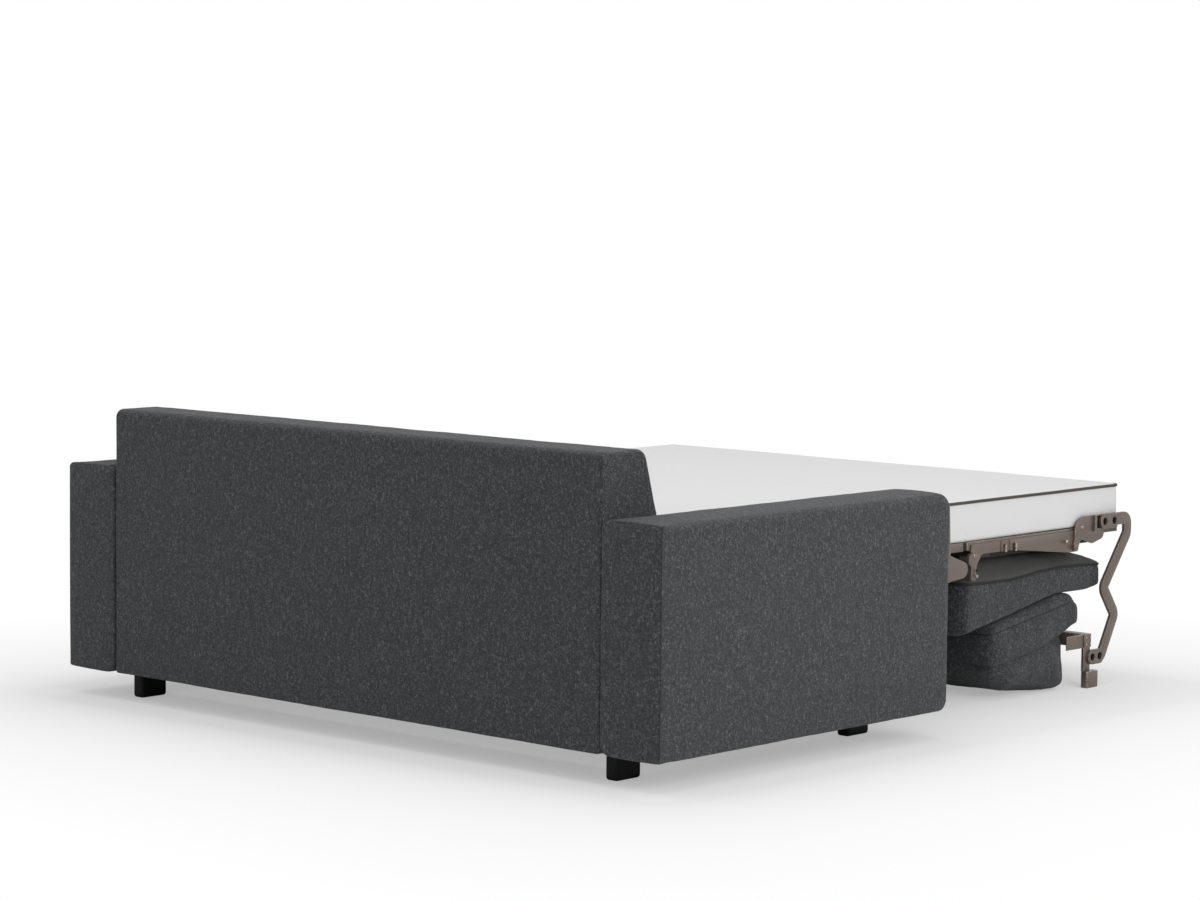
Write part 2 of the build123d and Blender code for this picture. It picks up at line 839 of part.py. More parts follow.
def cleat_height():
    """Height of the two wooden cleats above the seat board."""
    return base_tube


def back_cushion_section(x, inset):
    """Side outline of a back cushion at x."""
    rear = back_cushion_rear_reach + inset
    front = back_cushion_front_reach - inset / 2
    seat_slope = (seat_front_bottom - seat_rear_bottom) / (seat_slope_reach - seat_rear_reach)
    rear_top = seat_rear_bottom + (rear - seat_rear_reach) * seat_slope - inset
    slope_reach = back_cushion_rear_reach + back_cushion_slope_share * back_cushion_length
    corners = [
        (rear, back_cushion_end_height),
        (slope_reach + inset, back_cushion_slope_height + inset),
        (back_cushion_notch_reach - inset, back_cushion_low_height + inset),
        (back_cushion_toe_reach - inset, back_cushion_toe_height + inset),
        (back_cushion_notch_reach - inset / 2, back_cushion_notch_height),
        (front, back_cushion_lip_height),
        (front, cushion_hinge_height),
        (cushion_hinge_reach - inset, seat_front_bottom - back_cushion_top_gap - inset),
        (seat_slope_reach, seat_front_bottom - inset),
        (rear, rear_top),
    ]
    bulges = [share * back_cushion_inset for share in back_cushion_bulge_shares]
    return side_plane(x) * arc_outline(corners, bulges)


def back_cushion(side):
    """One back cushion, thick at its lower end, with drawn-in sides."""
    start = cushion_gap / 2
    width = back_cushion_half_width - start
    stations = list(back_station_shares)
    if side > 0:
        stations = stations[::-1]
    sections = []
    for share, drawn in stations:
        x = side * (start + share * width)
        sections.append(back_cushion_section(x, drawn * back_cushion_inset))
    return loft(sections, ruled=True) - seat_underside(soft_gap, 1)


def make_seat():
    bottom = seat_board_bottom()
    half = base_half_width - seat_board_margin
    rear = foot_fold_reach + seat_board_margin
    front = seat_front_reach - seat_board_margin
    top = bottom + seat_board_thickness
    add("seat_board", block((-half, half), (rear, front), (bottom, top)))
    cleats = []
    cleat_half = base_half_width - cleat_end_inset
    for reach in (rear, front - cleat_width):
        cleat_span = (-cleat_half, cleat_half)
        cleats.append(block(cleat_span, (reach, reach + cleat_width), (top, base_bottom)))
    add("seat_cleats", Compound(children=cleats))
    for name, side in sides.items():
        add(f"seat_cushion_{name}", seat_cushion(side))
        add(f"back_cushion_{name}", back_cushion(side))


def retainer():
    """Two wire hoops that keep the foot of the mattress in place."""
    hoops = []
    reach = mattress_foot_reach + retainer_wire_radius + soft_gap
    y = half_depth - reach
    base_y = half_depth - (mattress_foot_reach - base_end_margin)
    far_y = y - retainer_standoff
    low = base_top - base_tube / 2
    for side in sides.values():
        middle = side * (mattress_width / 2 - retainer_inset)
        half = retainer_width / 2
        path = Polyline(
            (middle - half, base_y, low),
            (middle - half, y, low),
            (middle - half, far_y, retainer_height),
            (middle + half, far_y, retainer_height),
            (middle + half, y, low),
            (middle + half, base_y, low),
        )
        wire = RegularPolygon(retainer_wire_radius, retainer_sides)
        profile = Plane(origin=path @ 0, z_dir=path % 0) * wire
        hoops.append(sweep(profile, path=path, transition=Transition.RIGHT))
    return hoops


def make_mechanism():
    wide = plate_thickness + plate_gap
    for name, side in sides.items():
        add(f"head_hanger_{name}", make_hanger(side))
        add(f"head_fold_ear_{name}", fold_ear(plate_inner, -1, side))
        add(f"middle_fold_ear_{name}", fold_ear(plate_outer, 1, side))
        add(f"link_bracket_{name}", link_bracket(side))
        add(f"fold_link_{name}", fold_link(side))
        add(f"side_rail_{name}", side_rail(side))
        add(f"leg_bracket_{name}", leg_bracket(side))
        add(f"crooked_leg_{name}", crooked_leg(side))
        make_leg_end(name, side)
    add("cross_bar", cross_bar())
    add("end_plate_screws", Compound(children=end_screws()))
    spacers = hanger_spacers(1) + hanger_spacers(-1)
    add("hanger_spacers", Compound(children=spacers))
    pivot_length = arm_inner - body_plate_thickness - hanger_inner
    hanger_bolts = []
    fold_bolts = []
    link_bolts = []
    leg_bolts = []
    for side in sides.values():
        place = (hanger_pivot_reach, hanger_pivot_height)
        hanger_bolts.append(rod(*place, pivot_radius, hanger_inner, pivot_length, side))
        span = (plate_inner + plate_thickness, wide, side)
        fold_bolts.append(bolt(head_fold_reach, fold_height, *span))
        link_bolts.append(bolt(link_pivot_reach, link_pivot_height, *span))
        leg_bolts.append(bolt(leg_pivot_reach, leg_pivot_height, *span))
    add("hanger_bolts", Compound(children=hanger_bolts))
    add("fold_bolts", Compound(children=fold_bolts))
    add("link_bolts", Compound(children=link_bolts))
    add("leg_bolts", Compound(children=leg_bolts))
    add("mattress_retainers", Compound(children=retainer()))


make_arms()
make_back()
make_feet()
make_body_plates()
make_bed()
make_mechanism()
make_seat()

if __name__ == "__main__":
    os.makedirs("parts", exist_ok=True)
    for node, solid in nodes.items():
        export_step(solid, f"parts/{node}.step")
    print(len(nodes), "nodes written")
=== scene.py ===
import json
import math

import bmesh
import bpy
import numpy as np
from mathutils import Matrix, Vector, noise
from mathutils.bvhtree import BVHTree


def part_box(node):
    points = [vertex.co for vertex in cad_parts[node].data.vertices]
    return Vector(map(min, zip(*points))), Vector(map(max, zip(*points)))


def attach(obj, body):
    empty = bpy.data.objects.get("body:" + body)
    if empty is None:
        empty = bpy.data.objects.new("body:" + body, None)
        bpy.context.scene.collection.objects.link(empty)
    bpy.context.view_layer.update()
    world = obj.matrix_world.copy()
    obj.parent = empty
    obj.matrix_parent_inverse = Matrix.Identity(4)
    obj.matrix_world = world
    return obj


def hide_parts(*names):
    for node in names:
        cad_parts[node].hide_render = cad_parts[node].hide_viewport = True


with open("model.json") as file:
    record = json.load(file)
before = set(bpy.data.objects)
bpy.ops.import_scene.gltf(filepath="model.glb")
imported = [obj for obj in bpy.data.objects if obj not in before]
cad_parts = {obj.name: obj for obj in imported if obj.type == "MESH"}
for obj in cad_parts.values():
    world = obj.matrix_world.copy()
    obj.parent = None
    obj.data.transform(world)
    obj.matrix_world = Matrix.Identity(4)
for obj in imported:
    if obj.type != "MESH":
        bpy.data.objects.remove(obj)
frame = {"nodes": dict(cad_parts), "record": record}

bl_info = {
    "name": "Sleeper Sofa Dresser",
    "version": (1, 0, 0),
    "blender": (4, 5, 0),
    "location": "View3D > Sidebar > Sleeper Sofa",
    "description": "Covers the packed sleeper sofa with upholstery, mattress, cushions and painted steel",
    "category": "Object",
}

SIDES = {"left": 1, "right": -1}
BACK_LOW, BACK_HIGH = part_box("back_cover")
ARM_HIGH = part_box("arm_cover_left")[1]
SEAT_LOW, SEAT_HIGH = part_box("seat_cushion_left")
REAR = BACK_HIGH.y

# Shared by the padded and the hard forms
MERGE_DISTANCE = 1e-5
TOUCHING = 1e-4
FLAT_ANGLE, CORNER_ANGLE = 0.4, 38
ARC_STEPS = 6
CAP_SHARES = (0.12, 0.3, 0.5, 0.68, 0.82, 0.92, 0.975, 1.0)
FINE_RIPPLE = (0.0005, 31)

# Arms: radii of the rear corners, swelling, and where the rolls of the edges change
ARM_REAR_RADII, FRONT_LOW_SHARE = (0.006, 0.012), 0.9
ARM_SWELL, ARM_STEP, ARM_RIPPLE = 0.002, 0.016, (0.0012, 7)
REAR_ROLL_LENGTH, REAR_ROLL_FADE = 0.06, 0.05
LOW_ROLL, LOW_ROLL_HEIGHT = 0.008, 0.03
# How far the rear's inner edge draws in at the top and at the bottom, over which height, and for how long
TOP_DRAW, LOW_DRAW = (0.026, 0.024), (0.040, 0.022)
DRAW_LENGTH, DRAW_FADE = 0.10, 0.08
# The seam round the rear panel
SEAM_DEPTH, SEAM_DROP, SEAM_INSET_SHARE = 0.0030, 0.0026, 0.42
SEAM_START, SEAM_BEND, SEAM_TOP_GAP = 0.004, 0.012, 0.02

# Back: depth of its top, of its front just above the arms, and of its front between them
BACK_TOP_DEPTH, BACK_SHELF_DEPTH, BACK_LOW_DEPTH = 0.153, 0.1985, 0.180
SHELF_DROP, SHELF_END_DROP = 0.004, 0.020
BACK_RADII = (0.006, 0.022, 0.030, 0.010, 0.008, 0.008)
BACK_LOW_ROLL, BACK_ROLL_RISE = 0.009, 0.003
BACK_ROLL_START, BACK_ROLL_FADE = 0.01, 0.03
BACK_POINT_STEP, BACK_STEP, BACK_RIPPLE = 0.015, 0.018, (0.0012, 6)
REAR_HOLLOW, REAR_BAND = 0.003, 0.004

# Mattress parts
MATTRESS_CORNER, MATTRESS_SWELL, MATTRESS_RIPPLE = 0.020, 0.0025, (0.0009, 5)
MATTRESS_POINT_STEP, MATTRESS_STEP = 0.016, 0.012
TOP_FALL, TOP_FALL_LENGTH, TOP_BAND = 0.0015, 0.035, 0.002
PIPING_INSET_SHARE, PIPING_LIFT_SHARE = 0.12, 0.45

# Feet: radius of the upright edges, and of the lower and upper ones
FOOT_EDGE, FOOT_ROLLS, FOOT_STEP = 0.009, (0.008, 0.001), 0.012

# Lines on the cushions' sides: distance in front of the sofa's rear face, and height
SEAT_PIPING = (
    (1.450, 0.323), (1.590, 0.320), (1.660, 0.318), (1.725, 0.323),
    (1.800, 0.3295), (1.905, 0.333), (2.015, 0.330), (2.100, 0.326),
)
SEAT_UNDERSIDE = ((1.438, 0.1728), (1.450, 0.175), (1.894, 0.258), (2.150, 0.256))
BACK_SEAM = ((1.599, 0.179), (1.982, 0.238))
BACK_CREASE = ((1.586, 0.089), (1.923, 0.142))
# Grooves along those lines: depth and width
SEAT_GROOVES = ((SEAT_PIPING, 0.0030, 0.008),)
BACK_GROOVES = ((BACK_SEAM, 0.0040, 0.006), (BACK_CREASE, 0.0110, 0.008))
# How much longer the filled seat cushion is, over which length, and how far cushions sag, over which height
SEAT_EXTRA, EXTRA_LENGTH = 0.027, 0.06
SEAT_DROP, BACK_DROP = (0.010, 0.06), (0.007, 0.05)
CUSHION_RIPPLE, CUSHION_FINE_RIPPLE = (0.0020, 11), (0.0006, 40)
SWELL_FRAMES = 20
# Room round the cushions: from the middle plane to their inner and outer sides, and above and below
CUSHION_INNER, SEAT_SIDE_ROOM, BACK_OUTER = 0.0024, 0.0006, 0.7978
SEAT_LOW_ROOM, SEAT_TOP_ROOM, BACK_TOP_ROOM, FLOOR_ROOM = 0.0004, 0.0003, 0.0006, 0.003
CROWN_LENGTH, CROWN_POWER, FRONT_CROWN_SHARE = 0.10, 2.2, 0.55
SEAT_FRONT_ROUND, SEAT_SIDE_ROUND = 0.040, 0.012
BACK_FRONT_ROOM, NOTCH_REACH, NOTCH_TOP = 0.0005, 1.952, 0.160
# A cord round a cushion: corner radius, point distance, where its rays start and how far they go
ROUND_CORNER, ROUND_STEP, RAY_START, RAY_REACH = 0.03, 0.010, 0.02, 0.12
BACK_SEAM_RADIUS, BACK_SEAM_LIFT = 0.0010, 0.0002

# Side plates of the mechanism: distance in front of the rear face, height and radius of each corner
BRACKET_OUTLINE = (
    (1.918, 0.374, 0.010), (1.940, 0.374, 0.010), (1.952, 0.402, 0.014), (2.010, 0.424, 0.006),
    (2.129, 0.424, 0.004), (2.129, 0.466, 0.006), (1.927, 0.466, 0.044), (1.927, 0.404, 0.014),
)
LIP_OUTLINE = ((2.009, 0.422, 0.001), (2.019, 0.422, 0.001), (2.019, 0.466, 0.001), (2.009, 0.466, 0.001))
CUP_OUTLINE = (
    (1.958, 0.420, 0.004), (2.076, 0.424, 0.004), (2.066, 0.400, 0.016),
    (2.016, 0.388, 0.030), (1.968, 0.403, 0.014),
)
# Outline of the thin dark sheet beside the lip, painted shade of the gap there
GAP_SHADE_OUTLINE = ((2.020, 0.428, 0.002), (2.116, 0.430, 0.002), (2.116, 0.463, 0.002), (2.020, 0.463, 0.002))
TAIL_OUTLINE = ((1.900, 0.109, 0.002), (1.983, 0.109, 0.001), (1.983, 0.146, 0.001), (1.900, 0.146, 0.002))
FOOT_SPACER_OUTLINE = (
    (1.998, 0.067, 0.012), (2.060, 0.067, 0.012), (2.060, 0.097, 0.012), (1.998, 0.097, 0.012),
)
# Layers of the leg bracket and of the leg's end: outline, span from the sofa's middle plane, and finishes
# Steel: its paint, and on its bevels a pale finish that is painted highlight.
STEEL, DARK = ("paint", "rim"), ("plastic",)
BRACKET_LAYERS = {
    "plate": (BRACKET_OUTLINE, (0.8073, 0.8123), STEEL),
    "lip": (LIP_OUTLINE, (0.8122, 0.8203), STEEL),
    "cup": (CUP_OUTLINE, (0.8035, 0.8072), STEEL),
    # The dark sheet, 0.4 mm thick, is painted shade in the gap between the lip and the leg's end.
    "spacer": (GAP_SHADE_OUTLINE, (0.8122, 0.8126), DARK),
}
LEG_LAYERS = {
    "tail": (TAIL_OUTLINE, (0.8085, 0.8122), STEEL),
    "spacer": (FOOT_SPACER_OUTLINE, (0.8108, 0.8122), DARK),
}
# Round heads: radius, height, finish, and their places as distance in front of the rear face and height
# The rivet heads take the pale finish that paints the highlight on the steel's edges.
RIVETS = {
    "large_rivets": (0.0072, 0.0045, "rim", ((1.473, 0.400),)),
    "small_rivets": (0.0054, 0.0034, "rim", ((1.959, 0.437), (1.888, 0.404), (1.484, 0.3455))),
    # A flat black disc on the rail's lug: painted shade in its hole.
    "lug_holes": (0.0046, 0.0006, "plastic", ((1.4835, 0.3605),)),
}
# Half-round ribs on the rail are cords in the pale finish: painted highlight along each rib.
RIVET_FACE, RIB_FACE, RIB_RADIUS = 0.8124, 0.8114, 0.0042
RIB_PLACES, RIB_HEIGHTS = (1.610, 1.656), (0.399, 0.410, 0.4195)
LEG_HOLES = ((2.0579, 0.446), (2.1024, 0.446), (2.012, 0.082), (2.0456, 0.082))
HOLE_REACH, HOLE_GROWTH = 0.009, 0.36
WIRE_MARGIN, WIRE_DROP, WIRE_SIDES = 0.030, 0.0065, 6

# Softened edges of hard pieces
TIMBER_BEVEL, BOARD_BEVEL, CLOTH_BEVEL, WIRE_BEVEL_SHARE = 0.002, 0.0015, 0.0006, 0.4

# Stage: half the floor's width, how the shadows fade, and the camera
FLOOR_SPREAD, WHITE = 14.0, (1, 1, 1, 1)
FADE_START, FADE_LENGTH, FADE_POWER = 0.10, 1.1, 0.6
LIGHTS = {
    "overhead_light": ((0.3, 0.2, 3.6), (0, -0.1, 0.3), (3.6, 3.2), "key_power"),
    "side_light": ((-4.2, 0.6, 2.0), (-0.8, 0.0, 0.4), (2.6, 2.0), "side_power"),
}
CAMERA_PLACE, CAMERA_TURNS = (-5.996, 6.8145, 1.445), (137.73, -5.04, 0.585)
CAMERA_SHIFT, SENSOR_WIDTH, CLIP_END = (0.0123, -0.0016), 36.0, 100


def colour(name, text, value):
    """A colour property with its own name and description."""
    return bpy.props.FloatVectorProperty(
        name=name, description=text, subtype="COLOR", size=3, default=value, min=0, max=1
    )


def number(name, text, value, **more):
    """A property that is never negative."""
    return bpy.props.FloatProperty(name=name, description=text, default=value, min=0, **more)


def length(name, text, value):
    """A length property in metres."""
    return number(name, text, value, subtype="DISTANCE", unit="LENGTH")


class UpholsterySettings(bpy.types.PropertyGroup):
    """Cloth and rounding of the arms and the back."""

    cloth: colour("Cloth", "Middle colour of the melange cloth", (0.0363, 0.0390, 0.0432))
    cloth_light: colour("Light yarn", "Colour of the pale flecks", (0.147, 0.155, 0.165))
    cloth_dark: colour("Dark yarn", "Colour of the dark flecks", (0.0118, 0.0128, 0.0147))
    edge_round: length("Edge round", "Roll of the long upholstered edges", 0.022)
    seam_round: length("Seam round", "Roll along the sewn rear panel", 0.0045)
    front_round: length("Front round", "Round of the arm's front corners", 0.040)
    crown: length("Crown", "How far the padded panels stand out", 0.004)
    back_gap: length("Back gap", "Gap between the back and each arm", 0.0022)
    seam: length("Seam", "Radius of the sewn seam line", 0.0008)


class MattressSettings(bpy.types.PropertyGroup):
    """White mattress with dark piping."""

    cover: colour("Cover", "Colour of the knitted cover", (0.79, 0.79, 0.79))
    piping: colour("Piping", "Colour of the piping", (0.072, 0.057, 0.048))
    edge_round: length("Edge round", "Roll of the outer edges", 0.012)
    piping_radius: length("Piping radius", "Radius of the piping", 0.0040)
    piping_drop: length("Piping drop", "Distance of the piping below the top", 0.0078)


class CushionSettings(bpy.types.PropertyGroup):
    """Seat and back cushions."""

    lining: colour("Lining", "Colour of the underside lining", (0.058, 0.061, 0.056))
    piping: colour("Piping", "Colour of the cushion piping", (0.012, 0.012, 0.013))
    voxel: length("Voxel", "Size of the remesh before the filling is simulated", 0.009)
    swell: length("Swell", "Most that the filling moves the cloth", 0.010)
    piping_radius: length("Piping radius", "Radius of the cushion piping", 0.0030)
    pressure: number("Pressure", "Pressure of the filling", 4.0)


class SteelSettings(bpy.types.PropertyGroup):
    """Painted steel of the bed mechanism."""

    paint: colour("Paint", "Colour of the powder coat", (0.168, 0.132, 0.109))
    # A painted highlight colour for the steel's bevelled edges, ribs and rivet heads; it also tints the
    # paint's random rubbed patches.
    rim: colour("Rim", "Colour where the coat thins along edges", (0.560, 0.490, 0.430))
    bevel: length("Bevel", "Width of the softened plate edges", 0.0009)
    wire_pitch: length("Wire pitch", "Distance between the wires of the bed mesh", 0.050)
    wire_radius: length("Wire radius", "Radius of the wires of the bed mesh", 0.0014)


class StageSettings(bpy.types.PropertyGroup):
    """Floor, lights and camera."""

    floor: colour("Floor", "Colour of the floor", (0.90, 0.90, 0.90))
    key_power: number("Key", "Power of the overhead light", 38)
    side_power: number("Side", "Power of the side light", 50)
    sky: number("Sky", "Strength of the even light", 0.60)
    haze: number("Haze", "Share of white in the floor's shadows", 0.37, max=1)
    lens: number("Lens", "Focal length in millimetres", 103.45)


class Sock:
    """A node socket that takes part in Python sums."""

    def __init__(self, tree, out):
        self.tree, self.out = tree, out

    def math(self, operation, first, second):
        return self.tree.node("ShaderNodeMath", {0: first, 1: second}, operation=operation)

    def wave(self):
        """The sine of the value."""
        return self.math("SINE", self, 0.0)

    def size(self):
        """The value without its sign."""
        return self.math("ABSOLUTE", self, 0.0)


def sum_method(operation, swapped=False):
    """A method of Sock that makes a math node from the socket and one other value."""

    def method(self, other):
        return self.math(operation, other, self) if swapped else self.math(operation, self, other)

    return method


OPERATIONS = {
    "__add__": "ADD", "__sub__": "SUBTRACT", "__mul__": "MULTIPLY", "__truediv__": "DIVIDE",
    "__pow__": "POWER", "__gt__": "GREATER_THAN", "larger": "MAXIMUM", "smaller": "MINIMUM",
}
for title, operation in OPERATIONS.items():
    setattr(Sock, title, sum_method(operation))
Sock.__radd__ = sum_method("ADD", swapped=True)
Sock.__rsub__ = sum_method("SUBTRACT", swapped=True)


class Tree:
    """Makes nodes in a shader or geometry tree."""

    def __init__(self, group):
        self.group = group
        self.group.nodes.clear()

    def node(self, kind, inputs=None, out=0, **settings):
        """A node of that kind: its settings first, then values or links for its sockets."""
        made = self.group.nodes.new(kind)
        for key, value in settings.items():
            setattr(made, key, value)
        for key, value in (inputs or {}).items():
            if isinstance(value, Sock):
                self.group.links.new(value.out, made.inputs[key])
            else:
                made.inputs[key].default_value = value
        return Sock(self, made.outputs[out]) if len(made.outputs) else made

    def mix(self, share, first, second):
        """A colour between two others."""
        first, second = (c if isinstance(c, Sock) else (*c, 1) for c in (first, second))
        inputs = {0: share, 6: first, 7: second}
        return self.node("ShaderNodeMix", inputs, out=2, data_type="RGBA", clamp_factor=True)

    def place(self, stretch=(1, 1, 1), turn=(0, 0, 0)):
        """Object coordinates, stretched and turned."""
        spot = self.node("ShaderNodeTexCoord", out=3)
        return self.node("ShaderNodeMapping", {0: spot, 2: turn, 3: stretch})

    def cloud(self, place, scale, detail=2.0, rough=0.5, twist=0.0):
        """A noise value."""
        inputs = {"Vector": place, "Scale": scale, "Detail": detail, "Roughness": rough, "Distortion": twist}
        return self.node("ShaderNodeTexNoise", inputs)

    def ramp(self, value, *stops):
        """A grey that follows stops, each a place and a tone."""
        made = self.node("ShaderNodeValToRGB", {0: value})
        elements = made.out.node.color_ramp.elements
        while len(elements) < len(stops):
            elements.new(0.5)
        for element, (place, tone) in zip(elements, stops):
            element.position = place
            element.color = (tone, tone, tone, 1)
        return made

    def axes(self):
        """The three object coordinates in metres."""
        spot = self.node("ShaderNodeTexCoord", out=3)
        made = self.node("ShaderNodeSeparateXYZ", {0: spot})
        return [Sock(self, out) for out in made.out.node.outputs]


def material_tree(name):
    """A new material and its emptied tree."""
    material = bpy.data.materials.new(name)
    material.use_nodes = True
    return material, Tree(material.node_tree)


def surface(name, paint, **fixed):
    """A material. paint(tree) returns what varies: colour, roughness, and a height with its depth."""
    material, tree = material_tree(name)
    made = paint(tree)
    inputs = {"Base Color": made["colour"], "Roughness": made["roughness"]}
    if "metallic" in made:
        inputs["Metallic"] = made["metallic"]
    if "height" in made:
        bump = {"Height": made["height"], "Distance": made["depth"], "Strength": 1.0}
        inputs["Normal"] = tree.node("ShaderNodeBump", bump)
    inputs.update(fixed)
    shader = tree.node("ShaderNodeBsdfPrincipled", inputs)
    tree.node("ShaderNodeOutputMaterial", {0: shader})
    return material


def melange(tree):
    """Colour, height and roughness of the woven charcoal cloth."""
    look = bpy.context.scene.sofa_upholstery
    fleck = tree.cloud(tree.place((1, 1, 0.55)), 190, 3, 0.65, 1.2)
    cross = tree.cloud(tree.place((0.6, 0.6, 1.2), (0.3, 0.2, 0.5)), 250, 3, 0.62, 1.0)
    fine = tree.cloud(tree.place(), 900, 2)
    blend = fleck * 0.5 + cross * 0.35 + fine * 0.15
    base = tree.mix(tree.ramp(blend, (0.40, 0.0), (0.53, 1.0)), look.cloth_dark, look.cloth)
    base = tree.mix(tree.ramp(blend, (0.52, 0.0), (0.62, 1.0)), base, look.cloth_light)
    x, y, z = tree.axes()
    threads = 2 * math.pi / 0.0020
    weave = ((x + y) * threads).wave() * ((z + (x - y) * 0.5) * threads).wave()
    height = blend * 1.4 + fine * 0.3 + weave * 0.22
    return {"colour": base, "height": height, "depth": 0.0011, "roughness": 0.86 + fleck * 0.1}


def on_line(line, y):
    """Height of a line on the side of a cushion at y, drawn on straight past its ends."""
    reach = REAR - y
    (first, low), (second, high) = line[:2] if reach < line[0][0] else line[-2:]
    if line[0][0] <= reach <= line[-1][0]:
        return float(np.interp(reach, *zip(*line)))
    return low + (high - low) * (reach - first) / (second - first)


def shade(tone, factor):
    """A colour made darker or lighter."""
    return tuple(c * factor for c in tone)


def seat_cloth(tree):
    """Melange cloth below the piping of a seat cushion and smooth lining above it."""
    made = melange(tree)
    look = bpy.context.scene.sofa_cushions
    _, y, z = tree.axes()
    start, end = SEAT_PIPING[0][0], SEAT_PIPING[-1][0]
    base, spread = 0.30, 0.05
    stops = [((reach - start) / (end - start), (height - base) / spread) for reach, height in SEAT_PIPING]
    line = tree.ramp((REAR - start - y) / (end - start), *stops)
    above = z > line * spread + base
    grain = tree.cloud(tree.place(), 700, 2)
    crease = tree.cloud(tree.place(), 22, 2)
    lining = tree.mix(crease * 0.5 + grain * 0.2, shade(look.lining, 0.72), shade(look.lining, 1.2))
    made["colour"] = tree.mix(above, made["colour"], lining)
    made["height"] = made["height"] * (1 - above) + (crease * 1.6 + grain * 0.15) * above
    return made


def mattress_cloth(tree):
    """Smooth white knit with a faint rib."""
    look = bpy.context.scene.sofa_mattress
    x, y, z = tree.axes()
    soft = tree.cloud(tree.place(), 14, 3)
    knit = ((x + z) * 2600.0).wave() * ((y + z) * 2100.0).wave()
    tone = tree.mix(soft, shade(look.cover, 0.965), look.cover)
    height = soft * 2.2 + knit * 0.12
    return {"colour": tone, "height": height, "depth": 0.0012, "roughness": 0.78 + soft * 0.1}


def cord_cloth(base):
    """Twisted cord cover in one colour."""

    def paint(tree):
        x, y, z = tree.axes()
        twist = ((x + y + z) * 2200.0).wave()
        tone = tree.mix(twist * 0.5 + 0.5, shade(base, 0.7), shade(base, 1.25))
        return {"colour": tone, "height": twist, "depth": 0.0002, "roughness": 0.8 + twist * 0.05}

    return paint


def powder_coat(tree):
    """Warm satin paint on steel, a little uneven, with fine pits."""
    look = bpy.context.scene.sofa_steel
    cloudy = tree.cloud(tree.place(), 16, 4, 0.6)
    pits = tree.cloud(tree.place(), 900, 2)
    rub = tree.cloud(tree.place((1, 1, 6)), 60, 3, 0.7)
    tone = tree.mix(cloudy, shade(look.paint, 0.80), shade(look.paint, 1.18))
    # Random rubbed patches lean towards the same pale colour.
    tone = tree.mix(tree.ramp(rub, (0.62, 0.0), (0.80, 1.0)) * 0.35, tone, look.rim)
    return {
        "colour": tone,
        "height": pits + cloudy * 2,
        "depth": 0.00012,
        "roughness": 0.30 + cloudy * 0.16,
        "metallic": 0.35 + rub * 0.2,
    }


def painted_edge_highlight(tree):
    """Painted highlight on the bevelled steel edges: the pale colour in random patches over the paint colour.
    """
    look = bpy.context.scene.sofa_steel
    patch = tree.cloud(tree.place(), 120, 3)
    tone = tree.mix(tree.ramp(patch, (0.35, 0.0), (0.65, 1.0)), look.paint, look.rim)
    return {"colour": tone, "roughness": 0.24 + patch * 0.12, "metallic": 0.55 + patch * 0.2}


def bright_zinc(tree):
    """Zinc plated wire and screws."""
    haze = tree.cloud(tree.place(), 300, 3)
    tone = tree.mix(haze, (0.42, 0.41, 0.40), (0.62, 0.60, 0.57))
    return {"colour": tone, "roughness": 0.26 + haze * 0.16, "metallic": 0.95}


def black_plastic(tree):
    """Moulded plastic with a fine grain."""
    grain = tree.cloud(tree.place(), 1300, 2)
    scuff = tree.cloud(tree.place(), 40, 4, 0.65)
    worn = tree.ramp(scuff, (0.55, 0.0), (0.75, 1.0))
    tone = tree.mix(worn, (0.0035, 0.0035, 0.0035), (0.010, 0.010, 0.010))
    return {"colour": tone, "height": grain, "depth": 0.00015, "roughness": 0.50 + scuff * 0.2}


def raw_timber(tree):
    """Plain softwood with long grain along the width of the sofa."""
    grain = tree.cloud(tree.place((0.06, 1, 1)), 90, 5, 0.62)
    rings = tree.cloud(tree.place((0.02, 1, 1)), 26, 3)
    bands = tree.ramp(grain * 0.6 + rings * 0.4, (0.36, 0.0), (0.64, 1.0))
    tone = tree.mix(bands, (0.34, 0.22, 0.12), (0.60, 0.45, 0.28))
    return {"colour": tone, "height": grain, "depth": 0.0005, "roughness": 0.62 + rings * 0.2}


def lined_and_shaded_timber(tree):
    """Plywood and battens nearly black: as the black lining that covers such boards, and as painted shade on
    the ends that show below the rail.
    """
    grain = tree.cloud(tree.place((0.06, 1, 1)), 90, 5, 0.62)
    tone = tree.mix(grain, (0.016, 0.014, 0.013), (0.050, 0.045, 0.041))
    return {"colour": tone, "height": grain, "depth": 0.0004, "roughness": 0.60 + grain * 0.2}


def dust_cloth(tree):
    """Thin black non-woven cloth."""
    fibre = tree.cloud(tree.place(), 700, 4, 0.7)
    tone = tree.mix(fibre, (0.012, 0.012, 0.013), (0.045, 0.045, 0.047))
    return {"colour": tone, "height": fibre, "depth": 0.0006, "roughness": 0.9 + fibre * 0.05}


FINISHES = {}


def finish(name):
    """The named finish, made when it is first needed."""
    makers = {
        "upholstery": (melange, {"Sheen Weight": 0.12, "Sheen Roughness": 0.5}),
        "seat_cloth": (seat_cloth, {"Sheen Weight": 0.10, "Sheen Roughness": 0.5}),
        "mattress": (mattress_cloth, {"Sheen Weight": 0.10}),
        "mattress_piping": (cord_cloth(bpy.context.scene.sofa_mattress.piping), {}),
        "cushion_piping": (cord_cloth(bpy.context.scene.sofa_cushions.piping), {}),
        "seam": (cord_cloth((0.014, 0.014, 0.015)), {}),
        "paint": (powder_coat, {"Coat Weight": 0.15, "Coat Roughness": 0.3}),
        "rim": (painted_edge_highlight, {}),
        "zinc": (bright_zinc, {}),
        "plastic": (black_plastic, {"Specular IOR Level": 0.2}),
        "timber": (raw_timber, {}),
        "stained": (lined_and_shaded_timber, {}),
        "dust_cloth": (dust_cloth, {}),
    }
    if name not in FINISHES:
        paint, fixed = makers[name]
        FINISHES[name] = surface(name, paint, **fixed)
    return FINISHES[name]


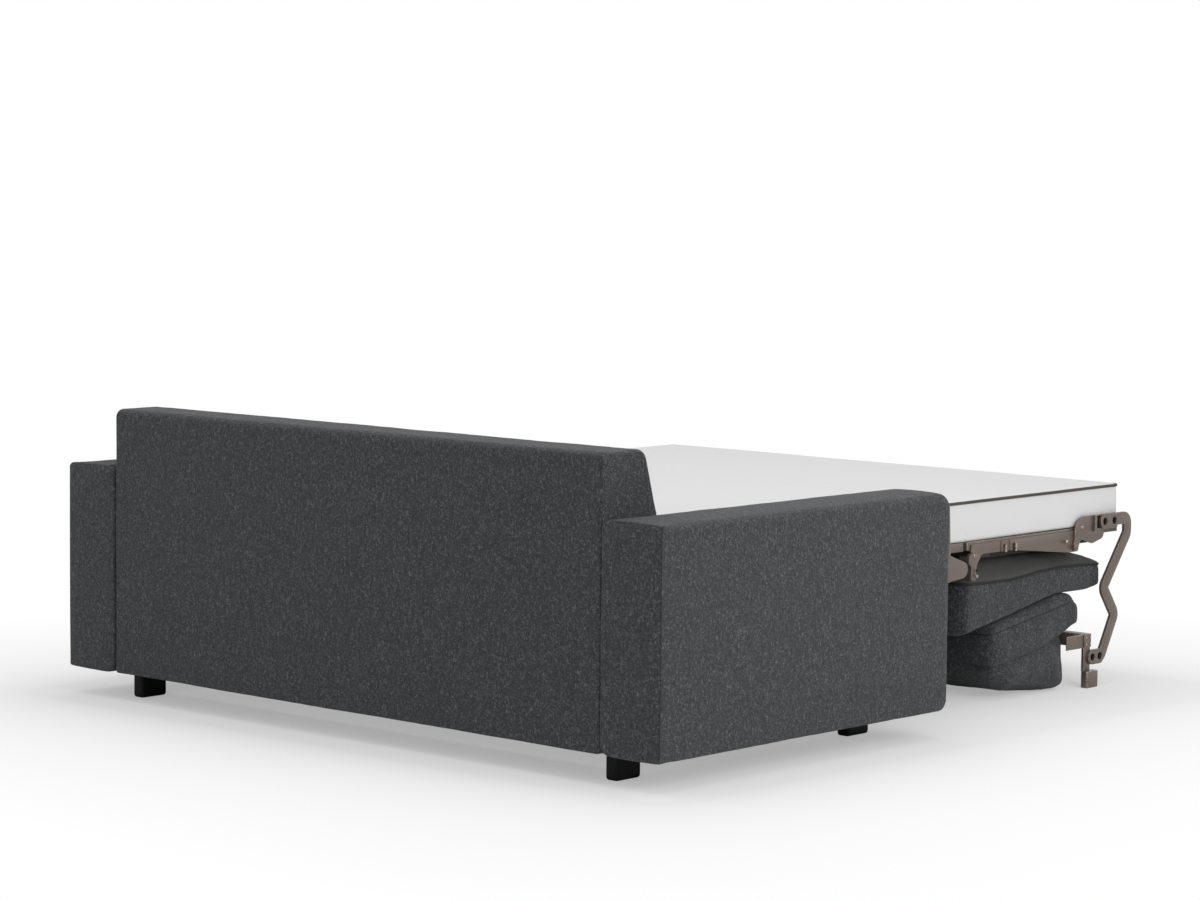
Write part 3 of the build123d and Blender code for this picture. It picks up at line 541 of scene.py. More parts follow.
def linked(name, data):
    """A new object at the origin, in the scene."""
    made = bpy.data.objects.new(name, data)
    bpy.context.scene.collection.objects.link(made)
    return made


def link_piece(name, mesh, *finishes):
    """A new piece with its finishes."""
    piece = linked(name, mesh)
    mesh.materials.clear()
    for title in finishes:
        mesh.materials.append(finish(title))
    return piece


def applied(piece):
    """The piece with its modifiers made part of its mesh."""
    shown = piece.evaluated_get(bpy.context.evaluated_depsgraph_get())
    mesh = bpy.data.meshes.new_from_object(shown)
    old = piece.data
    piece.modifiers.clear()
    piece.data = mesh
    if old.users == 0:
        bpy.data.meshes.remove(old)
    return piece


def soften(mesh, angle=CORNER_ANGLE):
    """Smooth shading, except across real corners."""
    mesh.polygons.foreach_set("use_smooth", [True] * len(mesh.polygons))
    mesh.set_sharp_from_angle(angle=math.radians(angle))


def as_mesh(name, made):
    """A new mesh from a bmesh, which is freed."""
    mesh = bpy.data.meshes.new(name)
    made.to_mesh(mesh)
    made.free()
    return mesh


def merged_copy(name, node):
    """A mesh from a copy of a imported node, with doubles merged and flat faces joined."""
    made = bmesh.new()
    made.from_mesh(frame["nodes"][node].data)
    bmesh.ops.remove_doubles(made, verts=made.verts, dist=MERGE_DISTANCE)
    bmesh.ops.dissolve_limit(made, angle_limit=math.radians(FLAT_ANGLE), verts=made.verts, edges=made.edges)
    return as_mesh(name, made)


def dressed(node, body, slot, bevel, *finishes, shape=None):
    """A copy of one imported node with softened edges, which stands for it."""
    mesh = merged_copy(node, node)
    if shape:
        shape(mesh)
    piece = link_piece(f"{node}_dressed", mesh, *finishes)
    soft_edges(piece, bevel)
    return settle(piece, body, slot, node)


def soft_edges(piece, bevel):
    """Bevels the real corners; a second finish, where there is one, shows on the bevel. On the steel that
    finish is a painted highlight.
    """
    edge = piece.modifiers.new("soft_edge", "BEVEL")
    edge.width, edge.segments, edge.limit_method = bevel, 2, "ANGLE"
    edge.angle_limit = math.radians(CORNER_ANGLE)
    edge.use_clamp_overlap = True
    if len(piece.data.materials) > 1:
        edge.material = 1
    applied(piece)
    soften(piece.data)


def bridge(made, rings):
    """Faces between rings that have as many vertices each."""
    for lower, upper in zip(rings, rings[1:]):
        for i, _ in enumerate(lower):
            j = (i + 1) % len(lower)
            made.faces.new((lower[i], lower[j], upper[j], upper[i]))


def side_plate(name, layer, side, body, *nodes):
    """A flat plate with softened edges on one side of the bed, from its outline, span and finishes."""
    outline, span, finishes = layer
    corners = [(REAR - reach, height) for reach, height, _ in outline]
    points, _ = rounded(corners, [radius for _, _, radius in outline], math.inf)
    made = bmesh.new()
    rings = [[made.verts.new((side * w, p.x, p.y)) for p in points] for w in span]
    bridge(made, rings)
    for ring in rings:
        made.faces.new(ring)
    bmesh.ops.recalc_face_normals(made, faces=made.faces)
    piece = link_piece(name, as_mesh(name, made), *finishes)
    soft_edges(piece, bpy.context.scene.sofa_steel.bevel)
    return settle(piece, body, "painted_steel", *nodes)


def settle(piece, body, slot, *nodes):
    """Joins a finished piece to its body and hides the nodes that it stands for. The slot is not used."""
    if nodes:
        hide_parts(*nodes)
    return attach(piece, body)


def share(value):
    """The value kept between none and all."""
    return max(0.0, min(1.0, value))


def rectangle(low, high):
    """The corners of a box as seen from above."""
    return [(low.x, low.y), (high.x, low.y), (high.x, high.y), (low.x, high.y)]


def rounded(corners, radii, step=0.014):
    """Evenly spaced points on a closed outline with rounded corners, and their inward normals."""
    path = []
    count = len(corners)
    for i, (spot, radius) in enumerate(zip(corners, radii)):
        here = Vector(spot)
        if not radius:
            path.append(here)
            continue
        to_last = (Vector(corners[i - 1]) - here).normalized()
        to_next = (Vector(corners[(i + 1) % count]) - here).normalized()
        half = to_last.angle(to_next) / 2
        reach = radius / math.tan(half)
        centre = here + (to_last + to_next).normalized() * (radius / math.sin(half))
        first, last = here + to_last * reach, here + to_next * reach
        for k in range(ARC_STEPS + 1):
            along = first.lerp(last, k / ARC_STEPS) - centre
            path.append(centre + along.normalized() * radius)
    points = []
    for here, there in zip(path, path[1:] + path[:1]):
        pieces = max(1, round((there - here).length / step))
        points += [here.lerp(there, k / pieces) for k in range(pieces)]
    area = sum(a.x * b.y - b.x * a.y for a, b in zip(points, points[1:] + points[:1]))
    if area < 0:
        points.reverse()
    normals = []
    for last, there in zip(points[-1:] + points[:-1], points[1:] + points[:1]):
        along = there - last
        normals.append(Vector((-along.y, along.x)).normalized())
    return points, normals


def rolled_end(points, normals, centre, w, inward, radii, crown):
    """Rings of one end of a padded form, from its middle out and over its rolled edge."""
    inner = [p + n * radius for p, n, radius in zip(points, normals, radii)]
    rings = []
    for part in CAP_SHARES:
        lift = crown * (1 - part**4)
        rings.append([(centre.lerp(p, part), w - inward * lift) for p in inner])
    for k in range(1, ARC_STEPS + 1):
        turn = math.pi / 2 * k / ARC_STEPS
        out, deep = 1 - math.sin(turn), 1 - math.cos(turn)
        edge = zip(points, normals, radii)
        rings.append([(p + n * radius * out, w + inward * radius * deep) for p, n, radius in edge])
    return rings


def soft_solid(name, points, normals, axis, span, rolls, crown=0.0, swell=0.0, step=0.02):
    """A closed padded form: an outline drawn along an axis, with rolled ends.

    rolls gives the roll radius at each point for the low and the high end. crown lifts the
    middle of both ends, and swell pushes the wall out between them.
    """
    centre = sum(points, Vector((0, 0))) / len(points)
    first, last = (
        rolled_end(points, normals, centre, w, inward, radii, crown)
        for w, inward, radii in zip(span, (1, -1), rolls)
    )
    walls = max(2, round((span[1] - span[0]) / step))
    between = []
    for k in range(1, walls):
        t = k / walls
        bulge = swell * math.sin(math.pi * t) ** 0.5
        wall = zip(first[-1], last[-1], normals)
        between.append([(p - n * bulge, low + (high - low) * t) for (p, low), (_, high), n in wall])
    made = bmesh.new()

    def spot(p, w):
        return (w, p.x, p.y) if axis == 0 else (p.x, p.y, w)

    grid = [[made.verts.new(spot(p, w)) for p, w in ring] for ring in first + between + last[::-1]]
    bridge(made, grid)
    for ring, w, lift in ((grid[0], span[0], -crown), (grid[-1], span[1], crown)):
        hub = made.verts.new(spot(centre, w + lift))
        for here, there in zip(ring, ring[1:] + ring[:1]):
            made.faces.new((here, there, hub))
    bmesh.ops.recalc_face_normals(made, faces=made.faces)
    mesh = as_mesh(name, made)
    soften(mesh, 75)
    return mesh


def shift(mesh, move):
    """Moves every vertex by move(vertex), worked out before any of them moves."""
    places = [vertex.co + move(vertex) for vertex in mesh.vertices]
    for vertex, place in zip(mesh.vertices, places):
        vertex.co = place
    mesh.update()


def ripple(mesh, depth, scale, seed=0.0):
    """Small uneven swellings, as in hand stretched cloth."""
    start = Vector((seed, seed * 0.7, -seed))
    shift(mesh, lambda vertex: vertex.normal * depth * noise.noise(vertex.co * scale + start))


def grow_tree(name, sockets):
    """A geometry tree, with its inputs: the geometry, those given with their kinds, and the material."""
    group = bpy.data.node_groups.new(name, "GeometryNodeTree")
    sockets = {"Geometry": "Geometry", **sockets, "Material": "Material"}
    for title, kind in sockets.items():
        group.interface.new_socket(name=title, in_out="INPUT", socket_type=f"NodeSocket{kind}")
    group.interface.new_socket(name="Geometry", in_out="OUTPUT", socket_type="NodeSocketGeometry")
    tree = Tree(group)
    start = group.nodes.new("NodeGroupInput")
    return tree, {title: Sock(tree, start.outputs[title]) for title in sockets}


def tree_end(tree, geometry, material):
    """Real geometry with its material, sent to the output. Returns the finished group."""
    real = tree.node("GeometryNodeRealizeInstances", {0: geometry})
    done = tree.node("GeometryNodeSetMaterial", {"Geometry": real, "Material": material})
    tree.node("NodeGroupOutput", {0: done})
    return tree.group


def path_tube_tree():
    """Edges become round cords of one radius."""
    tree, given = grow_tree("path_tube", {"Radius": "Float", "Sides": "Int"})
    line = tree.node("GeometryNodeMeshToCurve", {0: given["Geometry"]})
    shape = {"Resolution": given["Sides"], "Radius": given["Radius"]}
    ring = tree.node("GeometryNodeCurvePrimitiveCircle", shape)
    tube = tree.node("GeometryNodeCurveToMesh", {0: line, 1: ring, "Fill Caps": True})
    return tree_end(tree, tube, given["Material"])


def rivet_tree():
    """Points become domed heads that face sideways."""
    tree, given = grow_tree("rivet_heads", {"Radius": "Float", "Height": "Float"})
    dome = tree.node("GeometryNodeMeshUVSphere", {"Segments": 20, "Rings": 10, "Radius": 1.0})
    radius = given["Radius"]
    size = tree.node("ShaderNodeCombineXYZ", {0: given["Height"], 1: radius, 2: radius})
    dome = tree.node("GeometryNodeTransform", {"Geometry": dome, "Scale": size})
    heads = tree.node("GeometryNodeInstanceOnPoints", {"Points": given["Geometry"], "Instance": dome})
    return tree_end(tree, heads, given["Material"])


def wire_mesh_tree():
    """A flat net of crossed wires, from the number of wires and their distance each way."""
    sockets = {
        "Corner": "Vector", "Across": "Int", "Across Pitch": "Float", "Along": "Int", "Along Pitch": "Float",
        "Width": "Float", "Depth": "Float", "Radius": "Float",
    }
    tree, given = grow_tree("bed_wires", sockets)
    shape = {"Resolution": WIRE_SIDES, "Radius": given["Radius"]}
    ring = tree.node("GeometryNodeCurvePrimitiveCircle", shape)
    sets = []
    for axis, title, run in ((0, "Across", "Depth"), (1, "Along", "Width")):
        step = tree.node("ShaderNodeCombineXYZ", {axis: given[f"{title} Pitch"]})
        end = tree.node("ShaderNodeCombineXYZ", {1 - axis: given[run]})
        row = {"Count": given[title], "Start Location": given["Corner"], "Offset": step}
        row = tree.node("GeometryNodeMeshLine", row)
        line = tree.node("GeometryNodeCurvePrimitiveLine", {"End": end})
        wire = tree.node("GeometryNodeCurveToMesh", {0: line, 1: ring, "Fill Caps": True})
        sets.append(tree.node("GeometryNodeInstanceOnPoints", {"Points": row, "Instance": wire}))
    joined = tree.group.nodes.new("GeometryNodeJoinGeometry")
    for wires in sets:
        tree.group.links.new(wires.out, joined.inputs[0])
    return tree_end(tree, Sock(tree, joined.outputs[0]), given["Material"])


TREES = {}


def grown(name, points, edges, tree_maker, body, slot, values):
    """A piece that a geometry tree grows from points and edges."""
    mesh = bpy.data.meshes.new(name)
    mesh.from_pydata([tuple(p) for p in points], edges, [])
    piece = link_piece(name, mesh)
    if tree_maker not in TREES:
        TREES[tree_maker] = tree_maker()
    grow = piece.modifiers.new("grow", "NODES")
    grow.node_group = TREES[tree_maker]
    sockets = grow.node_group.interface.items_tree
    names = {item.name: item.identifier for item in sockets if item.in_out == "INPUT"}
    for title, value in values.items():
        grow[names[title]] = value
    applied(piece)
    soften(piece.data, 50)
    return settle(piece, body, slot)


def cord(name, points, closed, radius, material, body, slot, sides=10):
    """A sewn cord or seam line along points."""
    last = len(points) if closed else len(points) - 1
    edges = [(i, (i + 1) % len(points)) for i in range(last)]
    values = {"Radius": radius, "Sides": sides, "Material": finish(material)}
    return grown(name, points, edges, path_tube_tree, body, slot, values)


def make_arm(side_name, side):
    """One padded arm cover with its sewn rear panel."""
    look = bpy.context.scene.sofa_upholstery
    low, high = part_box(f"arm_cover_{side_name}")
    corners = [(high.y, low.z), (high.y, high.z), (low.y, high.z), (low.y, low.z)]
    radii = [*ARM_REAR_RADII, look.front_round, look.front_round * FRONT_LOW_SHARE]
    points, normals = rounded(corners, radii)
    roll = []
    for p in points:
        at_rear = share((p.x - high.y + REAR_ROLL_LENGTH) / REAR_ROLL_FADE)
        at_low = share((low.z + LOW_ROLL_HEIGHT - p.y) / LOW_ROLL_HEIGHT) * (1 - at_rear)
        radius = look.edge_round + (look.seam_round - look.edge_round) * at_rear
        roll.append(radius + (LOW_ROLL - radius) * at_low)
    span, rolls = (low.x, high.x), [roll, roll]
    mesh = soft_solid(f"arm_{side_name}", points, normals, 0, span, rolls, look.crown, ARM_SWELL, ARM_STEP)
    inner, outer = span if side > 0 else span[::-1]
    for vertex in mesh.vertices:
        spot = vertex.co
        deep = max(0.0, (spot.x - inner) * side)
        spot.x = inner + deep * side
        at_rear = share((spot.y - high.y + DRAW_LENGTH) / DRAW_FADE)
        for level, (reach, rise) in ((high.z, TOP_DRAW), (low.z, LOW_DRAW)):
            near = abs(spot.z - level) / rise
            if near < 1 and at_rear:
                draw = reach * (1 - math.sqrt(1 - (1 - near) ** 2)) * at_rear
                spot.x += side * max(0.0, draw - deep) * (1 - deep / (high.x - low.x))
    ripple(mesh, *ARM_RIPPLE, side)
    ripple(mesh, *FINE_RIPPLE, side + 3)
    piece = link_piece(f"arm_upholstery_{side_name}", mesh, "upholstery")
    settle(piece, "body", "upholstery", f"arm_cover_{side_name}")
    path = snapped(mesh, seam_path(low, high, inner, outer))
    cord(f"arm_seam_{side_name}", path, False, look.seam, "seam", "body", "upholstery", 6)


def seam_path(low, high, inner, outer):
    """The way up the outer edge of an arm's rear panel, round its corner and along its top."""
    side = math.copysign(1, outer - inner)
    y, top = high.y - SEAM_DEPTH, high.z - SEAM_DROP
    edge = outer - side * bpy.context.scene.sofa_upholstery.seam_round * SEAM_INSET_SHARE
    rise = top - low.z - SEAM_TOP_GAP
    path = [(edge, y, low.z + SEAM_START)] + [(edge, y, low.z + t * rise) for t in (0.25, 0.5, 0.75)]
    for k in range(ARC_STEPS + 1):
        turn = math.pi / 2 * k / ARC_STEPS
        in_x, in_z = SEAM_BEND * (1 - math.cos(turn)), SEAM_BEND * (1 - math.sin(turn))
        path.append((edge - side * in_x, y, top - in_z))
    return path + [(outer + (inner - outer) * t, y, top) for t in (0.3, 0.5, 0.7, 0.85)]


def surface_lookup(mesh):
    """Finds places on the surface of a mesh."""
    return BVHTree.FromPolygons([v.co for v in mesh.vertices], [p.vertices for p in mesh.polygons])


def snapped(mesh, path, lift=0.0):
    """The points of a path laid on the surface of a mesh."""
    lookup = surface_lookup(mesh)
    spots = []
    for p in path:
        place, normal, _, _ = lookup.find_nearest(Vector(p))
        spots.append(place + normal * lift)
    return spots


def make_back():
    """The padded back between the arms."""
    look = bpy.context.scene.sofa_upholstery
    low, top, arm_top = BACK_LOW.z, BACK_HIGH.z, ARM_HIGH.z
    corners = [
        (REAR, low),
        (REAR, top),
        (REAR - BACK_TOP_DEPTH, top),
        (REAR - BACK_SHELF_DEPTH, arm_top - SHELF_DROP),
        (REAR - BACK_LOW_DEPTH, arm_top - SHELF_END_DROP),
        (REAR - BACK_LOW_DEPTH, low),
    ]
    points, normals = rounded(corners, BACK_RADII, BACK_POINT_STEP)
    above = [share((p.y - arm_top + BACK_ROLL_START) / BACK_ROLL_FADE) for p in points]
    roll = [BACK_LOW_ROLL + BACK_ROLL_RISE * part for part in above]
    span = (BACK_LOW.x + look.back_gap, BACK_HIGH.x - look.back_gap)
    mesh = soft_solid("back", points, normals, 0, span, [roll, roll], step=BACK_STEP)
    for vertex in mesh.vertices:
        face = share((vertex.co.y - REAR + REAR_BAND) / REAR_BAND)
        up = share((vertex.co.z - low) / (top - low))
        across = 1 - abs(vertex.co.x / span[1]) ** 6
        vertex.co.y -= REAR_HOLLOW * face * (1 - max(0.0, across) * math.sin(math.pi * up) ** 0.4)
    ripple(mesh, *BACK_RIPPLE, 2)
    ripple(mesh, *FINE_RIPPLE, 5)
    piece = link_piece("back_upholstery", mesh, "upholstery")
    settle(piece, "body", "upholstery", "back_cover")


def bed_outline(low, high, round_rear, round_front):
    """Outline of a mattress part, its inward directions, cleared along the folds, and what lies on a fold."""
    rear, front = (MATTRESS_CORNER if flag else 0.0 for flag in (round_rear, round_front))
    points, normals = rounded(rectangle(low, high), [front, front, rear, rear], MATTRESS_POINT_STEP)
    kept, folds = [], []
    for p, n in zip(points, normals):
        on_rear = not round_rear and high.y - p.y < TOUCHING
        on_front = not round_front and p.y - low.y < TOUCHING
        if on_rear or on_front:
            at_side = abs(abs(p.x) - high.x) < TOUCHING
            n = Vector((-math.copysign(1, p.x), 0)) if at_side else Vector((0, 0))
        kept.append(n)
        folds.append(on_rear or on_front)
    return points, kept, folds


def make_mattress_part(name, body, round_rear, round_front):
    """One mattress part with rolled outer edges and piping along its upper edge."""
    look = bpy.context.scene.sofa_mattress
    low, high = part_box(name)
    points, normals, folds = bed_outline(low, high, round_rear, round_front)
    span, rolls = (low.z, high.z), [[look.edge_round] * len(points)] * 2
    mesh = soft_solid(name, points, normals, 2, span, rolls, swell=MATTRESS_SWELL, step=MATTRESS_STEP)
    for vertex in mesh.vertices:
        spot = vertex.co
        edge = min(spot.x - low.x, high.x - spot.x)
        if round_rear:
            edge = min(edge, high.y - spot.y)
        if round_front:
            edge = min(edge, spot.y - low.y)
        if spot.z > high.z - TOP_BAND:
            spot.z -= TOP_FALL * math.exp(-max(edge, 0) / TOP_FALL_LENGTH)
    ripple(mesh, *MATTRESS_RIPPLE, 1)
    piece = link_piece(f"{name}_cover", mesh, "mattress")
    settle(piece, body, "mattress_cover", name)
    inset = look.edge_round * PIPING_INSET_SHARE
    loop = [p + n * inset for p, n in zip(points, normals)]
    radius, z = look.piping_radius, high.z - look.piping_drop
    for k, run in enumerate(outer_runs(loop, folds)):
        spots = snapped(mesh, [(p.x, p.y, z) for p in run], radius * PIPING_LIFT_SHARE)
        cord(f"{name}_piping_{k + 1}", spots, False, radius, "mattress_piping", body, "mattress_cover")


def outer_runs(loop, fold):
    """The stretches of a closed loop that don't lie along a fold, ends included."""
    count = len(loop)
    start = next(i for i in range(count) if fold[i] and not fold[(i + 1) % count])
    runs, run = [], [loop[start]]
    for k in range(1, count + 1):
        i = (start + k) % count
        if not fold[i]:
            if not run:
                run = [loop[i - 1]]
            run.append(loop[i])
        elif run:
            runs.append(run + [loop[i]])
            run = []
    return [r for r in runs if len(r) > 3]


def filled_cushion(node, material, limit, grooves, drop, extra=0.0):
    """A cushion whose filling is simulated inside its packed form.

    Its lower side sags by the first value of drop, over the height in the second, and its
    front end is longer by extra.
    """
    look = bpy.context.scene.sofa_cushions
    name = f"{node}_cover"
    mesh = merged_copy(name, node)
    front = min(v.co.y for v in mesh.vertices)
    floor = min(v.co.z for v in mesh.vertices)
    sag, height = drop
    for vertex in mesh.vertices:
        vertex.co.y -= extra * max(0.0, 1 - (vertex.co.y - front) / EXTRA_LENGTH)
        low = max(floor, on_line(SEAT_UNDERSIDE, vertex.co.y)) if extra else floor
        vertex.co.z -= sag * share(1 - (vertex.co.z - low - sag) / height)
    piece = link_piece(name, mesh, material)
    grid = piece.modifiers.new("grid", "REMESH")
    grid.mode, grid.voxel_size = "VOXEL", look.voxel
    applied(piece)
    relax(piece.data, 3)
    rest = [v.co.copy() for v in piece.data.vertices]
    swell(piece, look.pressure)
    for vertex, start in zip(piece.data.vertices, rest):
        move = vertex.co - start
        if move.length > look.swell:
            vertex.co = start + move.normalized() * look.swell
    keep_within(piece.data, limit)
    relax(piece.data, 2)
    smooth = piece.modifiers.new("smooth", "SUBSURF")
    smooth.levels = smooth.render_levels = 1
    applied(piece)
    for line, depth, width in grooves:
        draw_in(piece.data, line, depth, width)
    ripple(piece.data, *CUSHION_RIPPLE, len(name))
    ripple(piece.data, *CUSHION_FINE_RIPPLE, len(name) + 1)
    keep_within(piece.data, limit)
    soften(piece.data, 70)
    return piece


def keep_within(mesh, limit):
    """Moves every vertex to where its limit puts it."""
    for vertex in mesh.vertices:
        vertex.co = limit(vertex.co)


def draw_in(mesh, line, depth, width):
    """Pulls the sides of a cushion in along a line, as a seam or a fold does."""

    def pull(vertex):
        off = (vertex.co.z - on_line(line, vertex.co.y)) / width
        return vertex.normal * -(depth * (1 - abs(vertex.normal.z)) * math.exp(-off * off))

    shift(mesh, pull)


def relax(mesh, rounds):
    """Smooths the steps that a voxel remesh leaves."""
    made = bmesh.new()
    made.from_mesh(mesh)
    every_way = {f"use_axis_{axis}": True for axis in "xyz"}
    for _ in range(rounds):
        bmesh.ops.smooth_vert(made, verts=made.verts, factor=0.5, **every_way)
    made.to_mesh(mesh)
    made.free()


def swell(piece, pressure):
    """Lets the filling press the cloth outwards."""
    scene = bpy.context.scene
    cloth = piece.modifiers.new("cloth", "CLOTH")
    cloth.settings.use_pressure = True
    cloth.settings.uniform_pressure_force = pressure
    cloth.settings.tension_stiffness = cloth.settings.compression_stiffness = 18
    cloth.settings.bending_stiffness = 0.8
    cloth.settings.quality = 4
    cloth.settings.effector_weights.gravity = 0
    cloth.point_cache.frame_start, cloth.point_cache.frame_end = 1, SWELL_FRAMES
    for step in range(1, SWELL_FRAMES + 1):
        scene.frame_set(step)
    applied(piece)
    scene.frame_set(1)


def corner_room(spare, radius):
    """How far a rounded corner draws in where spare is the distance to the other side."""
    inside = max(0.0, min(radius, spare))
    return radius - math.sqrt(radius * radius - (radius - inside) ** 2)


def seat_limit(side):
    """Keeps a seat cushion in its crowned form, off the board, its neighbour and the bed rails."""
    outer = max(abs(SEAT_LOW.x), abs(SEAT_HIGH.x)) - SEAT_SIDE_ROOM
    rear, front = REAR - SEAT_HIGH.y, REAR - SEAT_LOW.y + SEAT_EXTRA

    def crowned(spot):
        across, reach = spot.x * side, REAR - spot.y
        low = on_line(SEAT_UNDERSIDE, spot.y) + SEAT_LOW_ROOM
        piping = on_line(SEAT_PIPING, spot.y)
        near = min(outer - across, across - CUSHION_INNER, (front - reach) * FRONT_CROWN_SHARE, reach - rear)
        rise = 1 - (1 - share(near / CROWN_LENGTH)) ** CROWN_POWER
        high = piping + (SEAT_HIGH.z - SEAT_TOP_ROOM - piping) * rise
        height = max(low, min(high, spot.z))
        reach = min(reach, front - corner_room(height - low, SEAT_FRONT_ROUND))
        across = max(CUSHION_INNER, min(outer - corner_room(height - low, SEAT_SIDE_ROUND), across))
        return Vector((across * side, REAR - reach, height))

    return crowned


def back_limit(side):
    """Keeps a back cushion below the seat cushions, off the cross bar and off the floor."""
    front = REAR + BACK_FRONT_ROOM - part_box("back_cushion_left")[0].y

    def limit(spot):
        across = max(CUSHION_INNER, min(BACK_OUTER, spot.x * side))
        reach = min(REAR - spot.y, front if spot.z > NOTCH_TOP else NOTCH_REACH)
        high = on_line(SEAT_UNDERSIDE, spot.y) - BACK_TOP_ROOM
        return Vector((across * side, REAR - reach, min(high, max(FLOOR_ROOM, spot.z))))

    return limit


def sewn_round(name, piece, line, radius, lift, material, body, sides=8):
    """A cord laid round a cushion along a line on its sides."""
    mesh = piece.data
    lookup = surface_lookup(mesh)
    low, high = (Vector([end(v.co[k] for v in mesh.vertices) for k in range(3)]) for end in (min, max))
    points, normals = rounded(rectangle(low, high), [ROUND_CORNER] * 4, ROUND_STEP)
    spots = []
    for p, n in zip(points, normals):
        origin = Vector((p.x - n.x * RAY_START, p.y - n.y * RAY_START, on_line(line, p.y)))
        place, normal, _, _ = lookup.ray_cast(origin, Vector((n.x, n.y, 0)))
        if place is not None and (place - origin).length < RAY_REACH:
            spots.append(place + normal * lift)
    cord(name, spots, True, radius, material, body, "cushion_fabric", sides)


class SOFA_OT_upholstery(bpy.types.Operator):
    """Covers the arms and the back"""

    bl_idname = "sofa.upholstery"
    bl_label = "Upholstery"

    def execute(self, context):
        for side_name, side in SIDES.items():
            make_arm(side_name, side)
        make_back()
        return {"FINISHED"}


def make_foot(node):
    """A block foot with round edges."""
    low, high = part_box(node)
    points, normals = rounded(rectangle(low, high), [FOOT_EDGE] * 4, FOOT_STEP)
    rolls = [[radius] * len(points) for radius in FOOT_ROLLS]
    mesh = soft_solid(f"{node}_block", points, normals, 2, (low.z, high.z), rolls)
    settle(link_piece(f"{node}_block", mesh, "plastic"), "body", "foot_plastic", node)


class SOFA_OT_base(bpy.types.Operator):
    """Dresses the feet, the timber frame and the dust covers"""

    bl_idname = "sofa.base"
    bl_label = "Feet and timber"

    def execute(self, context):
        for node in sorted(frame["nodes"]):
            if node.startswith(("foot_rear", "foot_front")):
                make_foot(node)
            elif node.startswith(("arm_frame", "base_rail")) or node == "back_frame":
                dressed(node, "body", "frame_wood", TIMBER_BEVEL, "timber")
            elif node.endswith("dust_cover") or node.startswith("arm_dust_cover"):
                dressed(node, "body", "dust_cloth", CLOTH_BEVEL, "dust_cloth")
        # Seat board and battens nearly black: as their black lining, and as painted shade.
        for node in ("seat_board", "seat_cleats"):
            dressed(node, "foot_section", "stained_board", BOARD_BEVEL, "stained")
        return {"FINISHED"}


class SOFA_OT_mattress(bpy.types.Operator):
    """Makes the three mattress parts with their piping"""

    bl_idname = "sofa.mattress"
    bl_label = "Mattress"

    def execute(self, context):
        make_mattress_part("mattress_head", "head_section", True, False)
        make_mattress_part("mattress_middle", "middle_section", False, False)
        make_mattress_part("mattress_foot", "foot_section", False, True)
        return {"FINISHED"}


class SOFA_OT_cushions(bpy.types.Operator):
    """Fills the seat and back cushions and sews on their piping"""

    bl_idname = "sofa.cushions"
    bl_label = "Cushions"

    def execute(self, context):
        radius = context.scene.sofa_cushions.piping_radius
        for side_name, side in SIDES.items():
            node = f"seat_cushion_{side_name}"
            seat = filled_cushion(node, "seat_cloth", seat_limit(side), SEAT_GROOVES, SEAT_DROP, SEAT_EXTRA)
            settle(seat, "foot_section", "cushion_fabric", node)
            name = f"seat_piping_{side_name}"
            sewn_round(name, seat, SEAT_PIPING, radius, radius * 0.5, "cushion_piping", "foot_section")
            node = f"back_cushion_{side_name}"
            back = filled_cushion(node, "upholstery", back_limit(side), BACK_GROOVES, BACK_DROP)
            settle(back, "back_cushions", "cushion_fabric", node)
            name = f"back_seam_{side_name}"
            sewn_round(name, back, BACK_SEAM, BACK_SEAM_RADIUS, BACK_SEAM_LIFT, "seam", "back_cushions", 6)
        return {"FINISHED"}


def make_bracket(node, side):
    """The leg bracket with its broad round corner, its lip, its cup, and a thin dark sheet beside the lip:
    painted shade in the gap between the lip and the leg's end.
    """
    title = node.replace("leg_", "")
    for part, layer in BRACKET_LAYERS.items():
        nodes = [node] if part == "plate" else []
        side_plate(f"{title}_{part}", layer, side, "foot_section", *nodes)


def widen_holes(mesh):
    """Widens the leg's holes about their centres."""
    for reach, height in LEG_HOLES:
        for vertex in mesh.vertices:
            off = Vector((0, vertex.co.y - REAR + reach, vertex.co.z - height))
            if off.length < HOLE_REACH:
                vertex.co += off * HOLE_GROWTH


class SOFA_OT_steel(bpy.types.Operator):
    """Dresses the painted steel of the bed and its mechanism"""

    bl_idname = "sofa.steel"
    bl_label = "Steel"

    def execute(self, context):
        bevel = context.scene.sofa_steel.bevel
        slots = {row["node"]: row["material_slot"] for row in frame["record"]["subparts"]}
        for body, nodes in frame["record"]["behaviour"]["bodies"].items():
            for node in nodes:
                if node.startswith("leg_bracket"):
                    make_bracket(node, SIDES[node.rsplit("_", 1)[1]])
                elif slots[node] == "painted_steel":
                    shape = widen_holes if node.startswith("crooked_leg") else None
                    dressed(node, body, "painted_steel", bevel, *STEEL, shape=shape)
                elif slots[node] == "bright_wire":
                    dressed(node, body, "bright_wire", bevel * WIRE_BEVEL_SHARE, "zinc")
        return {"FINISHED"}


def bed_wires(look, base, body):
    """The wires of one section of the bed, evenly spread inside its frame."""
    low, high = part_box(f"bed_base_{base}")
    width, depth = (side - 2 * WIRE_MARGIN for side in (high.x - low.x, high.y - low.y))
    across, along = round(width / look.wire_pitch), round(depth / look.wire_pitch)
    start = (low.x + WIRE_MARGIN + width / across / 2, low.y + WIRE_MARGIN + depth / along / 2)
    corner = Vector((*start, high.z - WIRE_DROP))
    values = {
        "Corner": corner,
        "Across": across,
        "Across Pitch": width / across,
        "Along": along,
        "Along Pitch": depth / along,
        "Width": width - width / across,
        "Depth": depth - depth / along,
        "Radius": look.wire_radius,
        "Material": finish("zinc"),
    }
    grown(f"bed_wires_{base}", [corner], [], wire_mesh_tree, body, "painted_steel", values)


